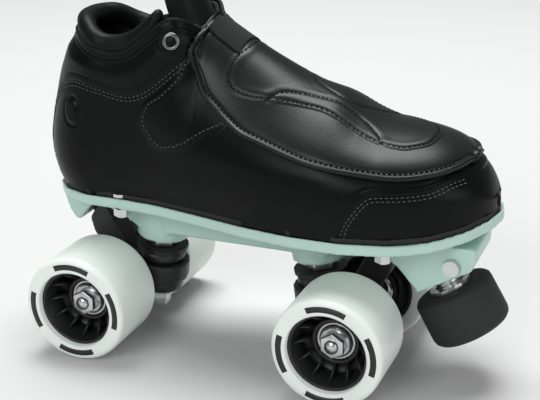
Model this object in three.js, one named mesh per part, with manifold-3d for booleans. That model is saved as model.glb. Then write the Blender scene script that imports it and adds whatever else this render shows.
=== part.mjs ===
// A right-foot quad roller skate: a padded leather boot bolted to a moulded plate, two steering
// trucks, four wheels on bearings and a screw-in toe stop.
// Millimetres. +X points to the toe, +Y to the skater's left, +Z up, and the ground is z = 0.
import * as THREE from "three";
import { mergeVertices } from "three/addons/utils/BufferGeometryUtils.js";
import Module from "manifold-3d";

const wasm = await Module();
wasm.setup();

// ---- Driving dimensions ----

const GAP = 0.3; // between faces that touch on the real skate
const RUNNING_FIT = 0.1; // radial, between a pin and the bore it turns in

// Wheels and bearings
const WHEELBASE = 150;
const WHEEL_DIAMETER = 62;
const WHEEL_WIDTH = 42;
const WHEEL_MIDDLE = 43; // from the middle of the skate to the middle of a wheel
const TYRE_EDGE_ROUND = 3.2;
const TYRE_FACE_INNER = 26; // radius where the flat face turns in towards the hub
const TYRE_DISH = 3.3; // depth of the hub opening below the face
const HUB_DIAMETER = 44.6;
const HUB_RIM_WALL = 2;
const HUB_BOSS_DIAMETER = 27;
const HUB_WEB = 4;
const BEARING_DIAMETER = 22;
const BEARING_BORE = 8;
const BEARING_WIDTH = 7;
const OUTER_BEARING_FACE = 46.4; // from the middle of the skate to the bearing's outer face
const INNER_BEARING_FACE = 22.4; // and to the inner bearing's inner face

// Trucks
const AXLE_DIAMETER = 7.9;
const AXLE_HALF_LENGTH = 55;
const AXLE_NUT_START = 47.4;
const AXLE_NUT_HEIGHT = 6;
const AXLE_NUT_FLATS = 12.7;
const SLEEVE_DIAMETER = 17;
const SLEEVE_HALF_LENGTH = 21.5;
const RING_OFFSET = 23.3; // the yoke ring's centre lies this far inboard of the axle
const RING_HEIGHT = 37;
const RING_DIAMETER = 34;
const RING_THICKNESS = 11;
const RING_BORE = 12;
const KINGPIN_DIAMETER = 8;
const KINGPIN_TILT = 7; // degrees from upright, its top leaning to the middle of the skate
const STEER_ANGLE = 39.8; // degrees from level, from the ring up to the pivot
const PIVOT_REACH = 53.1; // from the ring's centre to the mouth of the pivot cup
const PIVOT_PIN_DIAMETER = 10;
const PIVOT_PIN_DEPTH = 5.5;
const PIVOT_CLEARANCE = 0.4;
const PIVOT_CUP_WALL = 2;
const PIVOT_CUP_DEPTH = 7;
const CUSHION_DIAMETER = 28;
const TOP_CUSHION_HEIGHT = 6.5;
const BOTTOM_CUSHION_HEIGHT = 8;
const BOTTOM_CUSHION_END_DIAMETER = 17;
const RETAINER_HEIGHT = 2.4;
const TOP_RETAINER_DIAMETER = 31;
const BOTTOM_RETAINER_DIAMETER = 19;
const JAM_NUT_HEIGHT = 5;
const JAM_NUT_FLATS = 17;
const KINGPIN_NUT_HEIGHT = 8;
const KINGPIN_NUT_FLATS = 13;
const KINGPIN_IN_PLATE = 15;

// Plate
const DECK_TOP = 88; // top of the rim around the sole
const DECK_THICKNESS = 6.5;
const TRAY_DEPTH = 1.5; // how far the sole sits down inside the rim
const RIM_MARGIN = 2.2; // the rim stands this far outside the sole
const KEEL_HALF_WIDTH = 14;
const KEEL_BOTTOM = 63;
const BOSS_DIAMETER = 31;
const PIVOT_HOUSING_HALF_WIDTH = 11;
const PIVOT_HOUSING_WALL = 2.6;
const STOP_HOUSING_HALF_WIDTH = 20;

// Toe stop
const STEM_DIAMETER = 15.9;
const STEM_ANGLE = 60; // degrees below level, leaning out to the toe
const STEM_MOUTH_X = 45.8; // where the stem leaves its housing, ahead of the front axle
const STEM_MOUTH_Z = 59;
const STEM_IN_HOUSING = 14;
const STEM_TRAVEL = 5; // the stem can be screwed in this much further
const STEM_SHOWING = 9;
const STEM_IN_RUBBER = 14;
const STOP_DIAMETER = 45;
const STOP_HEIGHT = 27;
const STOP_EDGE = 5;
const STOP_WASHER_DIAMETER = 24;
const STOP_WASHER_HEIGHT = 2;
const CLAMP_SLOT = 1.6;
const CLAMP_SCREW_DIAMETER = 5;
const CLAMP_HEAD_DIAMETER = 9;
const CLAMP_HEAD_HEIGHT = 3.5;
const CLAMP_SCREW_X = 54.6; // ahead of the front axle
const CLAMP_SCREW_Z = 71.8;

// Boot
const HEEL_BACK = -114.4;
const BOOT_LENGTH = 263;
const BALL_HALF_WIDTH = 50.5;
const WAIST_HALF_WIDTH = 32;
const HEEL_HALF_WIDTH = 31;
const LEG_HALF_WIDTH = 31.5;
const TOE_ROUND = 85; // length of the round of the toe, seen from above
const HEEL_ROUND = 31;
const TOE_BEND = 4; // the toe lies this far to the inner side of the foot
const TOE_SPRING = 9.7; // how far the toe of the sole is lifted
const TOE_SPRING_LENGTH = 50;
const SOLE_TUCK = 2.5; // the upper pulls in this much where it meets the sole
const SIDE_HEIGHT = 20; // the upper is widest this far above the sole
const UPPER_WALL = 2.6;
const LINING_WALL = 3;
const FOOTBED_HEIGHT = 4;
const MIDSOLE_HEIGHT = 4;
const TONGUE_THICKNESS = 7;
const TONGUE_TOP = 226;
const TONGUE_HINGE_Z = 193;
const COVER_THICKNESS = 2.2;
const COVER_GAP = 0.45; // between the upper and the cover laid on it
const TAB_THICKNESS = 1.6;
const COLLAR_ROLL = 11; // diameter of the padded collar
const EYELET_DIAMETER = 9.6;
const EYELET_HOLE = 5.6;
const EYELET_THICKNESS = 1.6;

// Mounting bolts that hold the boot on the plate: distance from the wheelbase's middle, and across
const BOLTS = [
  { name: "front_left", x: 97, y: 36 },
  { name: "front_right", x: 97, y: -36 },
  { name: "rear_left", x: -62, y: 25.5 },
  { name: "rear_right", x: -62, y: -25.5 },
];
const BOLT_DIAMETER = 5;
const BOLT_NUT_FLATS = 8;
const BOLT_NUT_HEIGHT = 4.6;
const BOLT_HEAD_DIAMETER = 10;
const BOLT_HEAD_HEIGHT = 1.8;

const HALF_BASE = WHEELBASE / 2;
const WHEEL_RADIUS = WHEEL_DIAMETER / 2;
const SOLE_BOTTOM = DECK_TOP - TRAY_DEPTH + GAP;
const FINE = 28;
const ROUND = 18;
const SMALL = 12;

// ---- Materials ----

const paint = (color, roughness, metalness = 0) =>
  new THREE.MeshStandardMaterial({ color, roughness, metalness });
const LEATHER = paint(0x1d1f1e, 0.45);
const LINING = paint(0x2b2d2c, 0.9);
const MINT = paint(0xb8d5cc, 0.45);
const WHITE_TYRE = paint(0xe8edea, 0.4);
const BLACK_NYLON = paint(0x17181a, 0.55);
const CUSHION_RUBBER = paint(0x1c1c1e, 0.6);
const STOP_RUBBER = paint(0x222324, 0.85);
const STEEL = paint(0xb9bcbc, 0.3, 1);
const BEARING_STEEL = paint(0x9a9d9e, 0.3, 1);

// ---- Solids ----

const UP = new THREE.Vector3(0, 1, 0);
const radians = THREE.MathUtils.degToRad;

function solid(geometry) {
  const bare = geometry.clone();
  bare.deleteAttribute("normal");
  bare.deleteAttribute("uv");
  const merged = mergeVertices(bare, 1e-4);
  return new wasm.Manifold(
    new wasm.Mesh({
      numProp: 3,
      vertProperties: merged.attributes.position.array,
      triVerts: new Uint32Array(merged.index.array),
    }),
  );
}

function geometryOf(made) {
  const mesh = made.getMesh();
  const geometry = new THREE.BufferGeometry();
  geometry.setAttribute("position", new THREE.BufferAttribute(mesh.vertProperties, 3));
  geometry.setIndex(new THREE.BufferAttribute(mesh.triVerts, 1));
  geometry.computeVertexNormals();
  return geometry;
}

function join(...geometries) {
  return geometries.map(solid).reduce((a, b) => a.add(b));
}

function meshOf(name, shape, material) {
  const geometry = shape.isBufferGeometry ? shape : geometryOf(shape);
  const mesh = new THREE.Mesh(geometry, material);
  mesh.name = name;
  return mesh;
}

// A lathed solid about the Y axis: points are [radius, height], going round the profile
// with the outside on the way up.
function turned(points, segments) {
  return new THREE.LatheGeometry(
    points.map(([r, y]) => new THREE.Vector2(r, y)),
    segments,
  );
}

function pin(radius, from, to, segments = SMALL) {
  return turned([[0, from], [radius, from], [radius, to], [0, to]], segments);
}

function ring(bore, outer, from, to, segments = ROUND) {
  return turned([[bore, from], [outer, from], [outer, to], [bore, to], [bore, from]], segments);
}

function hexagon(flats, bore, from, to) {
  const corner = flats / Math.sqrt(3);
  const nut = solid(new THREE.CylinderGeometry(corner, corner, to - from, 6).translate(0, (from + to) / 2, 0));
  return nut.subtract(solid(pin(bore, from - 1, to + 1)));
}

// A prism whose side view is the polygon of [x, z] points, and which spans y = -half to half.
function sidePrism(points, half) {
  const shape = new THREE.Shape(points.map(([x, z]) => new THREE.Vector2(x, z)));
  const prism = new THREE.ExtrudeGeometry(shape, { depth: 2 * half, bevelEnabled: false });
  return prism.rotateX(Math.PI / 2).translate(0, half, 0);
}

// Turns geometry made about the Y axis to run from a point along a direction.
function along(geometry, from, direction) {
  const turn = new THREE.Quaternion().setFromUnitVectors(UP, direction);
  return geometry.clone().applyQuaternion(turn).translate(from.x, from.y, from.z);
}

function axisGroup(from, direction) {
  const group = new THREE.Group();
  group.position.copy(from);
  group.quaternion.setFromUnitVectors(UP, direction);
  return group;
}

// ---- Wheels ----

const TYRE_BORE = HUB_DIAMETER / 2 + GAP;
const OUTER_SEAT = OUTER_BEARING_FACE - WHEEL_MIDDLE; // along the wheel, from its middle
const INNER_SEAT = INNER_BEARING_FACE - WHEEL_MIDDLE;

function tyre() {
  const half = WHEEL_WIDTH / 2;
  const r = WHEEL_RADIUS;
  const e = TYRE_EDGE_ROUND;
  const diagonal = e * (1 - Math.SQRT1_2);
  return turned(
    [
      [TYRE_BORE, TYRE_DISH - half],
      [TYRE_FACE_INNER, -half],
      [r - e, -half],
      [r - diagonal, diagonal - half],
      [r, e - half],
      [r, half - e],
      [r - diagonal, half - diagonal],
      [r - e, half],
      [TYRE_FACE_INNER, half],
      [TYRE_BORE, half - TYRE_DISH],
      [TYRE_BORE, TYRE_DISH - half],
    ],
    FINE,
  );
}

function hub() {
  const half = WHEEL_WIDTH / 2 - TYRE_DISH;
  const outer = HUB_DIAMETER / 2;
  const rim = outer - HUB_RIM_WALL;
  const boss = HUB_BOSS_DIAMETER / 2;
  const seat = BEARING_DIAMETER / 2 + RUNNING_FIT;
  const shoulder = seat - 2;
  return turned(
    [
      [seat, INNER_SEAT],
      [boss, INNER_SEAT],
      [boss, OUTER_SEAT - HUB_WEB - 8],
      [rim, half - HUB_WEB - 6],
      [rim, -half],
      [outer, -half],
      [outer, half],
      [rim, half],
      [boss, OUTER_SEAT],
      [seat, OUTER_SEAT],
      [seat, OUTER_SEAT - BEARING_WIDTH - GAP],
      [shoulder, OUTER_SEAT - BEARING_WIDTH - GAP],
      [shoulder, INNER_SEAT + BEARING_WIDTH + GAP],
      [seat, INNER_SEAT + BEARING_WIDTH + GAP],
      [seat, INNER_SEAT],
    ],
    ROUND,
  );
}

function bearing(face, inward) {
  const from = Math.min(face, face + inward * BEARING_WIDTH);
  return ring(BEARING_BORE / 2 + RUNNING_FIT, BEARING_DIAMETER / 2, from, from + BEARING_WIDTH, ROUND);
}

// One wheel with its bearings, in its own frame: +Y points out from the skate.
function wheel(name) {
  const group = new THREE.Group();
  group.add(meshOf(`tyre_${name}`, tyre(), WHITE_TYRE));
  group.add(meshOf(`hub_${name}`, hub(), BLACK_NYLON));
  group.add(meshOf(`bearing_outer_${name}`, bearing(OUTER_SEAT, -1), BEARING_STEEL));
  group.add(meshOf(`bearing_inner_${name}`, bearing(INNER_SEAT, 1), BEARING_STEEL));
  const nutFrom = AXLE_NUT_START - WHEEL_MIDDLE;
  const nut = hexagon(AXLE_NUT_FLATS, AXLE_DIAMETER / 2 + GAP / 2, nutFrom, nutFrom + AXLE_NUT_HEIGHT);
  group.add(meshOf(`axle_nut_${name}`, nut, STEEL));
  return group;
}

// ---- Trucks ----
// A truck is made for the front of the skate, and the rear one is the same truck turned round.

const AXLE = new THREE.Vector3(HALF_BASE, 0, WHEEL_RADIUS);
const RING_CENTRE = new THREE.Vector3(HALF_BASE - RING_OFFSET, 0, RING_HEIGHT);
const KINGPIN_UP = new THREE.Vector3(-Math.sin(radians(KINGPIN_TILT)), 0, Math.cos(radians(KINGPIN_TILT)));
const STEER_OUT = new THREE.Vector3(Math.cos(radians(STEER_ANGLE)), 0, Math.sin(radians(STEER_ANGLE)));
const PIVOT_MOUTH = RING_CENTRE.clone().addScaledVector(STEER_OUT, PIVOT_REACH);

// Heights along the kingpin, from the ring's centre.
const RING_TOP = RING_THICKNESS / 2;
const TOP_CUSHION_AT = RING_TOP + GAP;
const TOP_RETAINER_AT = TOP_CUSHION_AT + TOP_CUSHION_HEIGHT + GAP;
const JAM_NUT_AT = TOP_RETAINER_AT + RETAINER_HEIGHT + GAP;
const BOSS_AT = JAM_NUT_AT + JAM_NUT_HEIGHT + GAP;
const BOTTOM_CUSHION_AT = -RING_TOP - GAP;
const BOTTOM_RETAINER_AT = BOTTOM_CUSHION_AT - BOTTOM_CUSHION_HEIGHT - GAP;
const KINGPIN_NUT_AT = BOTTOM_RETAINER_AT - RETAINER_HEIGHT - GAP;
const KINGPIN_END = KINGPIN_NUT_AT - KINGPIN_NUT_HEIGHT - 1.5;

function hanger() {
  const sleeve = pin(SLEEVE_DIAMETER / 2, -SLEEVE_HALF_LENGTH, SLEEVE_HALF_LENGTH, ROUND).translate(...AXLE);
  const yoke = along(pin(RING_DIAMETER / 2, -RING_TOP, RING_TOP, ROUND), RING_CENTRE, KINGPIN_UP);
  const armEnd = PIVOT_MOUTH.clone().addScaledVector(STEER_OUT, -3);
  const pinLength = 3 + PIVOT_PIN_DEPTH;
  const tip = PIVOT_PIN_DIAMETER / 2;
  const pivotPin = along(
    turned([[0, -6], [tip, -6], [tip, pinLength - 3], [tip * 0.6, pinLength], [0, pinLength]], SMALL),
    armEnd,
    STEER_OUT,
  );
  const body = sidePrism(
    [
      [RING_CENTRE.x + 9, RING_CENTRE.z],
      [RING_CENTRE.x + RING_DIAMETER / 2 - 1.5, RING_CENTRE.z - RING_TOP + 1],
      [AXLE.x - 3, AXLE.z - SLEEVE_DIAMETER / 2 + 1],
      [AXLE.x + SLEEVE_DIAMETER / 2 - 1, AXLE.z],
      [AXLE.x + 4, AXLE.z + 14],
      [RING_CENTRE.x + 6, RING_CENTRE.z + RING_TOP - 1],
    ],
    13,
  );
  const arm = sidePrism(
    [
      [AXLE.x + 2, AXLE.z],
      [armEnd.x + 2, armEnd.z - 13],
      [armEnd.x + 4, armEnd.z - 5],
      [armEnd.x - 3, armEnd.z + 6],
      [armEnd.x - 8, armEnd.z + 3],
      [AXLE.x - 8, AXLE.z + 12],
    ],
    7.5,
  );
  const whole = join(sleeve, yoke, body, arm, pivotPin);
  const axleHole = solid(pin(AXLE_DIAMETER / 2 + RUNNING_FIT, -40, 40, SMALL).translate(...AXLE));
  const ringHole = solid(along(pin(RING_BORE / 2, -15, 15, SMALL), RING_CENTRE, KINGPIN_UP));
  return whole.subtract(axleHole).subtract(ringHole);
}

function kingpinStack(name) {
  const stack = axisGroup(RING_CENTRE, KINGPIN_UP);
  const bore = KINGPIN_DIAMETER / 2 + GAP;
  const wide = CUSHION_DIAMETER / 2;
  const narrow = BOTTOM_CUSHION_END_DIAMETER / 2;
  const low = BOTTOM_CUSHION_AT - BOTTOM_CUSHION_HEIGHT;
  const topCushion = ring(bore, wide, TOP_CUSHION_AT, TOP_CUSHION_AT + TOP_CUSHION_HEIGHT);
  const bottomCushion = turned(
    [[bore, low], [narrow, low], [wide - 1, BOTTOM_CUSHION_AT], [bore, BOTTOM_CUSHION_AT], [bore, low]],
    ROUND,
  );
  const topRetainer = ring(bore, TOP_RETAINER_DIAMETER / 2, TOP_RETAINER_AT, TOP_RETAINER_AT + RETAINER_HEIGHT);
  const retainerLow = BOTTOM_RETAINER_AT - RETAINER_HEIGHT;
  const bottomRetainer = ring(bore, BOTTOM_RETAINER_DIAMETER / 2, retainerLow, BOTTOM_RETAINER_AT);
  const kingpin = pin(KINGPIN_DIAMETER / 2, KINGPIN_END, BOSS_AT + KINGPIN_IN_PLATE);
  const jamNut = hexagon(JAM_NUT_FLATS, bore, JAM_NUT_AT, JAM_NUT_AT + JAM_NUT_HEIGHT);
  const nut = hexagon(KINGPIN_NUT_FLATS, bore, KINGPIN_NUT_AT - KINGPIN_NUT_HEIGHT, KINGPIN_NUT_AT);
  stack.add(meshOf(`cushion_top_${name}`, topCushion, CUSHION_RUBBER));
  stack.add(meshOf(`cushion_bottom_${name}`, bottomCushion, CUSHION_RUBBER));
  stack.add(meshOf(`retainer_top_${name}`, topRetainer, BLACK_NYLON));
  stack.add(meshOf(`retainer_bottom_${name}`, bottomRetainer, STEEL));
  stack.add(meshOf(`kingpin_${name}`, kingpin, STEEL));
  stack.add(meshOf(`kingpin_jam_nut_${name}`, jamNut, STEEL));
  stack.add(meshOf(`kingpin_nut_${name}`, nut, STEEL));
  return stack;
}

function pivotCup(name) {
  const bore = PIVOT_PIN_DIAMETER / 2 + PIVOT_CLEARANCE;
  const outer = bore + PIVOT_CUP_WALL;
  const floor = PIVOT_PIN_DEPTH + GAP;
  const cup = turned(
    [[0, PIVOT_CUP_DEPTH], [0, floor], [bore, floor], [bore, 0], [outer, 0], [outer, PIVOT_CUP_DEPTH]].concat([
      [0, PIVOT_CUP_DEPTH],
    ]),
    SMALL,
  );
  const group = axisGroup(PIVOT_MOUTH, STEER_OUT);
  group.add(meshOf(`pivot_cup_${name}`, cup, CUSHION_RUBBER));
  return group;
}

function truck(name) {
  const group = new THREE.Group();
  group.add(meshOf(`hanger_${name}`, hanger(), BLACK_NYLON));
  const axle = meshOf(`axle_${name}`, pin(AXLE_DIAMETER / 2, -AXLE_HALF_LENGTH, AXLE_HALF_LENGTH), STEEL);
  axle.position.copy(AXLE);
  group.add(axle);
  group.add(kingpinStack(name));
  group.add(pivotCup(name));
  return group;
}

// ---- The boot's form ----
// Every layer of the boot is cut from one form, moved in by "inset". A level slice of the form
// runs from the back line to the ridge, and its half width comes from the sole's outline, the
// dome over the foot and the round of the heel.

const { clamp, lerp, smoothstep } = THREE.MathUtils;

function curveThrough(points) {
  const at = new THREE.CubicInterpolant(
    points.map(([a]) => a),
    points.map(([, b]) => b),
    1,
  );
  const first = points[0];
  const last = points[points.length - 1];
  return (value) => at.evaluate(clamp(value, first[0], last[0]))[0];
}

const fromHeel = (share) => HEEL_BACK + share * BOOT_LENGTH;
const TOE_TIP = HEEL_BACK + BOOT_LENGTH;
const LEG_TOP = 240;

// Half width of the sole against the distance from the heel, as a share of the boot's length.
const soleHalfWidth = curveThrough([
  [0, HEEL_HALF_WIDTH],
  [0.12, HEEL_HALF_WIDTH],
  [0.27, WAIST_HALF_WIDTH],
  [0.4, lerp(WAIST_HALF_WIDTH, BALL_HALF_WIDTH, 0.36)],
  [0.55, lerp(WAIST_HALF_WIDTH, BALL_HALF_WIDTH, 0.82)],
  [0.68, BALL_HALF_WIDTH],
  [1, BALL_HALF_WIDTH],
]);

// How far the back of the boot lies ahead of the heel's furthest point, against height.
const backLine = curveThrough([
  [SOLE_BOTTOM - 10, 5.8],
  [SOLE_BOTTOM + 2, 4.8],
  [SOLE_BOTTOM + 10, 2],
  [SOLE_BOTTOM + 27, 0],
  [SOLE_BOTTOM + 38, 1.2],
  [SOLE_BOTTOM + 57, 6.2],
  [SOLE_BOTTOM + 77, 14],
  [SOLE_BOTTOM + 103, 23.8],
  [LEG_TOP, 26],
]);

// Height of the ridge over the foot, above the sole, against the share of the boot's length.
const ridgeHeight = curveThrough([
  [0.3, 240],
  [0.345, 172],
  [0.37, 124],
  [0.387, 106],
  [0.405, 100],
  [0.43, 95.5],
  [0.477, 88],
  [0.54, 79],
  [0.606, 70.5],
  [0.67, 65],
  [0.725, 56.5],
  [0.77, 51.8],
  [0.8, 51],
  [0.862, 48.5],
  [0.904, 45],
  [0.942, 39.5],
  [0.968, 34],
  [0.985, 27],
  [1, 18],
]);

const centreLine = (x) => TOE_BEND * smoothstep(x, TOE_TIP - 110, TOE_TIP - 10);

// The furthest forward that a level slice reaches.
function sliceFront(z, inset) {
  let back = fromHeel(0.3);
  let front = TOE_TIP - inset;
  const above = (x) => SOLE_BOTTOM + ridgeHeight((x - HEEL_BACK) / BOOT_LENGTH) - inset > z;
  if (above(front)) return front;
  for (let i = 0; i < 30; i++) {
    const middle = (back + front) / 2;
    if (above(middle)) back = middle;
    else front = middle;
  }
  return back;
}

function halfWidth(x, z, inset) {
  const share = clamp((x - HEEL_BACK) / BOOT_LENGTH, 0, 1);
  const foot = soleHalfWidth(share);
  const tuck = SOLE_TUCK * (1 - smoothstep(z, SOLE_BOTTOM - 4, SOLE_BOTTOM + SIDE_HEIGHT));
  const flat = lerp(foot - tuck, LEG_HALF_WIDTH, smoothstep(z, SOLE_BOTTOM + 34, SOLE_BOTTOM + 88)) - inset;
  const back = HEEL_BACK + backLine(z) + inset;
  const heelIn = clamp((back + HEEL_ROUND - inset - x) / (HEEL_ROUND - inset), 0, 1);
  const toeIn = clamp((x - (TOE_TIP - TOE_ROUND)) / (TOE_ROUND - inset), 0, 1);
  const widest = SOLE_BOTTOM + SIDE_HEIGHT;
  const ridge = SOLE_BOTTOM + ridgeHeight(share) - inset;
  const up = clamp((z - widest) / Math.max(ridge - widest, 1), 0, 1);
  const fullness = lerp(2.3, 2.7, smoothstep(z, SOLE_BOTTOM + 50, SOLE_BOTTOM + 90));
  return flat * Math.sqrt(1 - heelIn ** 2) * Math.sqrt(1 - toeIn ** 2) * Math.sqrt(1 - up ** fullness);
}

const FORM_BOTTOM = DECK_TOP - 14;
const FORM_ROWS = 15;

// The whole form, from under the plate's deck to above the tongue, as a closed solid.
function bootForm(inset) {
  const form = new THREE.CylinderGeometry(1, 1, 1, FINE, FORM_ROWS);
  const place = form.attributes.position;
  for (let i = 0; i < place.count; i++) {
    const level = place.getY(i) + 0.5;
    const z = lerp(FORM_BOTTOM, LEG_TOP, level ** 1.35);
    const front = sliceFront(z, inset);
    const back = HEEL_BACK + backLine(z) + inset;
    const side = -place.getZ(i);
    const ahead = place.getX(i);
    const centre = Math.hypot(side, ahead) < 0.5;
    const x = centre ? (front + back) / 2 : lerp(back, front, (1 + ahead) / 2);
    const y = centre ? 0 : Math.sign(Math.round(side * 1e6)) * halfWidth(x, z, inset);
    place.setXYZ(i, x, centreLine(x) + y, z);
  }
  return solid(form);
}

// Points along the sole, from heel to toe: level, then lifted at the toe.
function soleLine(above) {
  const start = TOE_TIP - TOE_SPRING_LENGTH;
  const lifted = [0, 0.35, 0.6, 0.8, 1, 1.2].map((t) => [
    start + t * TOE_SPRING_LENGTH,
    SOLE_BOTTOM + above + TOE_SPRING * t ** 2,
  ]);
  return [[HEEL_BACK - 30, SOLE_BOTTOM + above], ...lifted];
}

// Everything between two heights above the sole line.
function layer(from, to) {
  return solid(sidePrism([...soleLine(from), ...soleLine(to).reverse()], 90));
}

// ---- Boot layers ----

const LINING_INSET = UPPER_WALL + GAP;
const FOOT_INSET = LINING_INSET + LINING_WALL;
const UPPER_AT = MIDSOLE_HEIGHT + GAP; // above the bottom of the sole
const FOOTBED_AT = UPPER_AT + LINING_WALL + GAP;
const FORM_HEIGHT = 180;

// The top edge of the quarters in side view: the collar dips at the ankle and rises to the eyelets.
const COLLAR_LINE = [
  [-100, 180.5],
  [-86, 180.5],
  [-74, 175],
  [-62, 172.5],
  [-50, 175.5],
  [-40, 183],
  [-31, 191],
  [-24, 194],
  [-18, 192.5],
  [-14, 186],
  [-10, 179],
];

function aboveCollar() {
  const outline = [[-140, COLLAR_LINE[0][1]], ...COLLAR_LINE, [-8, 177], [6, 177], [6, 260], [-140, 260]];
  return solid(sidePrism(outline, 80)).add(collarRoll(GAP));
}

function upper() {
  const wall = bootForm(0).subtract(bootForm(UPPER_WALL));
  return wall.intersect(layer(UPPER_AT, FORM_HEIGHT)).subtract(aboveCollar());
}

function lining() {
  const outside = bootForm(LINING_INSET).intersect(layer(UPPER_AT, FORM_HEIGHT));
  const inside = bootForm(FOOT_INSET).intersect(layer(UPPER_AT + LINING_WALL, FORM_HEIGHT + 20));
  const throat = solid(new THREE.BoxGeometry(60, 44, 80).translate(-2, 0, 203));
  return outside.subtract(inside).subtract(aboveCollar()).subtract(throat);
}

// The stiff board that the upper is lasted to, with a sunk hole for each bolt's head.
function midsole() {
  let board = bootForm(0).intersect(layer(0, MIDSOLE_HEIGHT));
  const top = SOLE_BOTTOM + MIDSOLE_HEIGHT;
  for (const { x, y } of BOLTS) {
    const through = pin(BOLT_DIAMETER / 2 + GAP, top - 20, top + 20);
    const sink = pin(BOLT_HEAD_DIAMETER / 2 + GAP, top - BOLT_HEAD_HEIGHT - 2 * GAP, top + 20);
    board = board.subtract(join(through, sink).rotate([90, 0, 0]).translate([x, y, 0]));
  }
  return board;
}

function footbed() {
  return bootForm(FOOT_INSET + GAP).intersect(layer(FOOTBED_AT, FOOTBED_AT + FOOTBED_HEIGHT));
}

// The padded tongue lines the front of the ankle: a slice of the form between two insets.
const TONGUE_INSET = FOOT_INSET + 1;

function tongueSlab() {
  return bootForm(TONGUE_INSET).subtract(bootForm(TONGUE_INSET + TONGUE_THICKNESS));
}

function tongueBase() {
  const part = sidePrism([[-34, 172], [-34, 150], [40, 150], [40, 172], [-12, TONGUE_HINGE_Z - GAP]], 17);
  return tongueSlab().intersect(solid(part));
}

function tongueTop() {
  const part = sidePrism(
    [[-36, 196], [-12, TONGUE_HINGE_Z + GAP], [10, TONGUE_HINGE_Z + GAP], [0, TONGUE_TOP], [-36, TONGUE_TOP]],
    17.5,
  );
  return tongueSlab().intersect(solid(part));
}

// The smooth cover over the instep and laces: a skin on the upper, above its edge line.
const COVER_LINE = [
  [-15, 170],
  [-8, 155.5],
  [2, 146.5],
  [16, 138],
  [32, 133],
  [54, 127.5],
  [76, 124],
  [100, 121.5],
  [118, 123],
  [134, 128.5],
  [141, 134],
];

function skin(inner, thickness, outline, half) {
  return bootForm(-inner - thickness).subtract(bootForm(-inner)).intersect(solid(sidePrism(outline, half)));
}

function cover() {
  return skin(COVER_GAP, COVER_THICKNESS, [...COVER_LINE, [150, 200], [2, 200], [-8, 182]], 80);
}

function instepTab() {
  const outline = [[-6.5, 178], [4, 170], [12, 190], [0, 200], [-3.5, 190]];
  return skin(2 * COVER_GAP + COVER_THICKNESS, TAB_THICKNESS, outline, 16);
}

// The padded roll round the mouth of the boot, from one side of the tongue round the heel.
function collarRoll(grow) {
  const roll = COLLAR_ROLL / 2;
  const top = curveThrough(COLLAR_LINE);
  const spots = [-33, -39, -47, -56, -66, -76, -83];
  const side = (x, hand) => {
    const z = top(x) + roll + GAP;
    return new THREE.Vector3(x, hand * (halfWidth(x, z, 0) - roll), z);
  };
  const heelZ = top(-100) + roll + GAP;
  const heel = new THREE.Vector3(HEEL_BACK + backLine(heelZ) + roll + 1, 0, heelZ);
  const path = new THREE.CatmullRomCurve3([
    ...spots.map((x) => side(x, -1)),
    heel,
    ...spots.toReversed().map((x) => side(x, 1)),
  ]);
  const sides = 8;
  const section = new THREE.Shape(
    Array.from({ length: sides }, (_, i) => {
      const a = ((i + 0.5) / sides) * 2 * Math.PI;
      return new THREE.Vector2((roll + grow) * Math.cos(a), (roll + grow) * Math.sin(a));
    }),
  );
  return solid(new THREE.ExtrudeGeometry(section, { steps: 28, extrudePath: path, bevelEnabled: false }));
}

// A metal eyelet on the quarter, lying on the leather.
const EYELET_X = -24;
const EYELET_Z = 182;

function eyelet(hand) {
  const out = new THREE.Vector3(0.3, hand * 0.94, 0.1).normalize();
  const spot = new THREE.Vector3(EYELET_X, hand * halfWidth(EYELET_X, EYELET_Z, 0), EYELET_Z);
  const group = axisGroup(spot.addScaledVector(out, 1.2), out);
  const side = hand > 0 ? "left" : "right";
  const grommet = ring(EYELET_HOLE / 2, EYELET_DIAMETER / 2, 0, EYELET_THICKNESS, SMALL);
  group.add(meshOf(`eyelet_${side}`, grommet, STEEL));
  return group;
}

// ---- Plate ----

const DECK_BOTTOM = DECK_TOP - DECK_THICKNESS;

const DECK_TOP_ABOVE_SOLE = DECK_TOP - SOLE_BOTTOM;

// The tray under the sole, with a rim round it and room for the boot inside.
function deck() {
  const tray = bootForm(-RIM_MARGIN).intersect(layer(DECK_TOP_ABOVE_SOLE - DECK_THICKNESS, DECK_TOP_ABOVE_SOLE));
  return tray;
}

const HOUSING_REACH = PIVOT_CUP_DEPTH + PIVOT_HOUSING_WALL;

// The housing of a pivot cup, open towards the truck.
function pivotHousing() {
  const end = PIVOT_MOUTH.clone().addScaledVector(STEER_OUT, HOUSING_REACH);
  const down = PIVOT_PIN_DIAMETER / 2 + PIVOT_CUP_WALL + PIVOT_HOUSING_WALL;
  const outward = new THREE.Vector3(STEER_OUT.z, 0, -STEER_OUT.x);
  const low = PIVOT_MOUTH.clone().addScaledVector(outward, down);
  const lowEnd = end.clone().addScaledVector(outward, down);
  const rise = (DECK_BOTTOM + 1 - PIVOT_MOUTH.z) / STEER_OUT.x;
  const high = PIVOT_MOUTH.clone().addScaledVector(outward, -rise);
  return sidePrism(
    [
      [high.x, high.z],
      [low.x, low.z],
      [low.x + 3, low.z - 0.5],
      [lowEnd.x, lowEnd.z],
      [lowEnd.x + 4, high.z],
    ],
    PIVOT_HOUSING_HALF_WIDTH,
  );
}

const STEM_DOWN = new THREE.Vector3(Math.cos(radians(STEM_ANGLE)), 0, -Math.sin(radians(STEM_ANGLE)));
const STEM_MOUTH = new THREE.Vector3(HALF_BASE + STEM_MOUTH_X, 0, STEM_MOUTH_Z);

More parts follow.
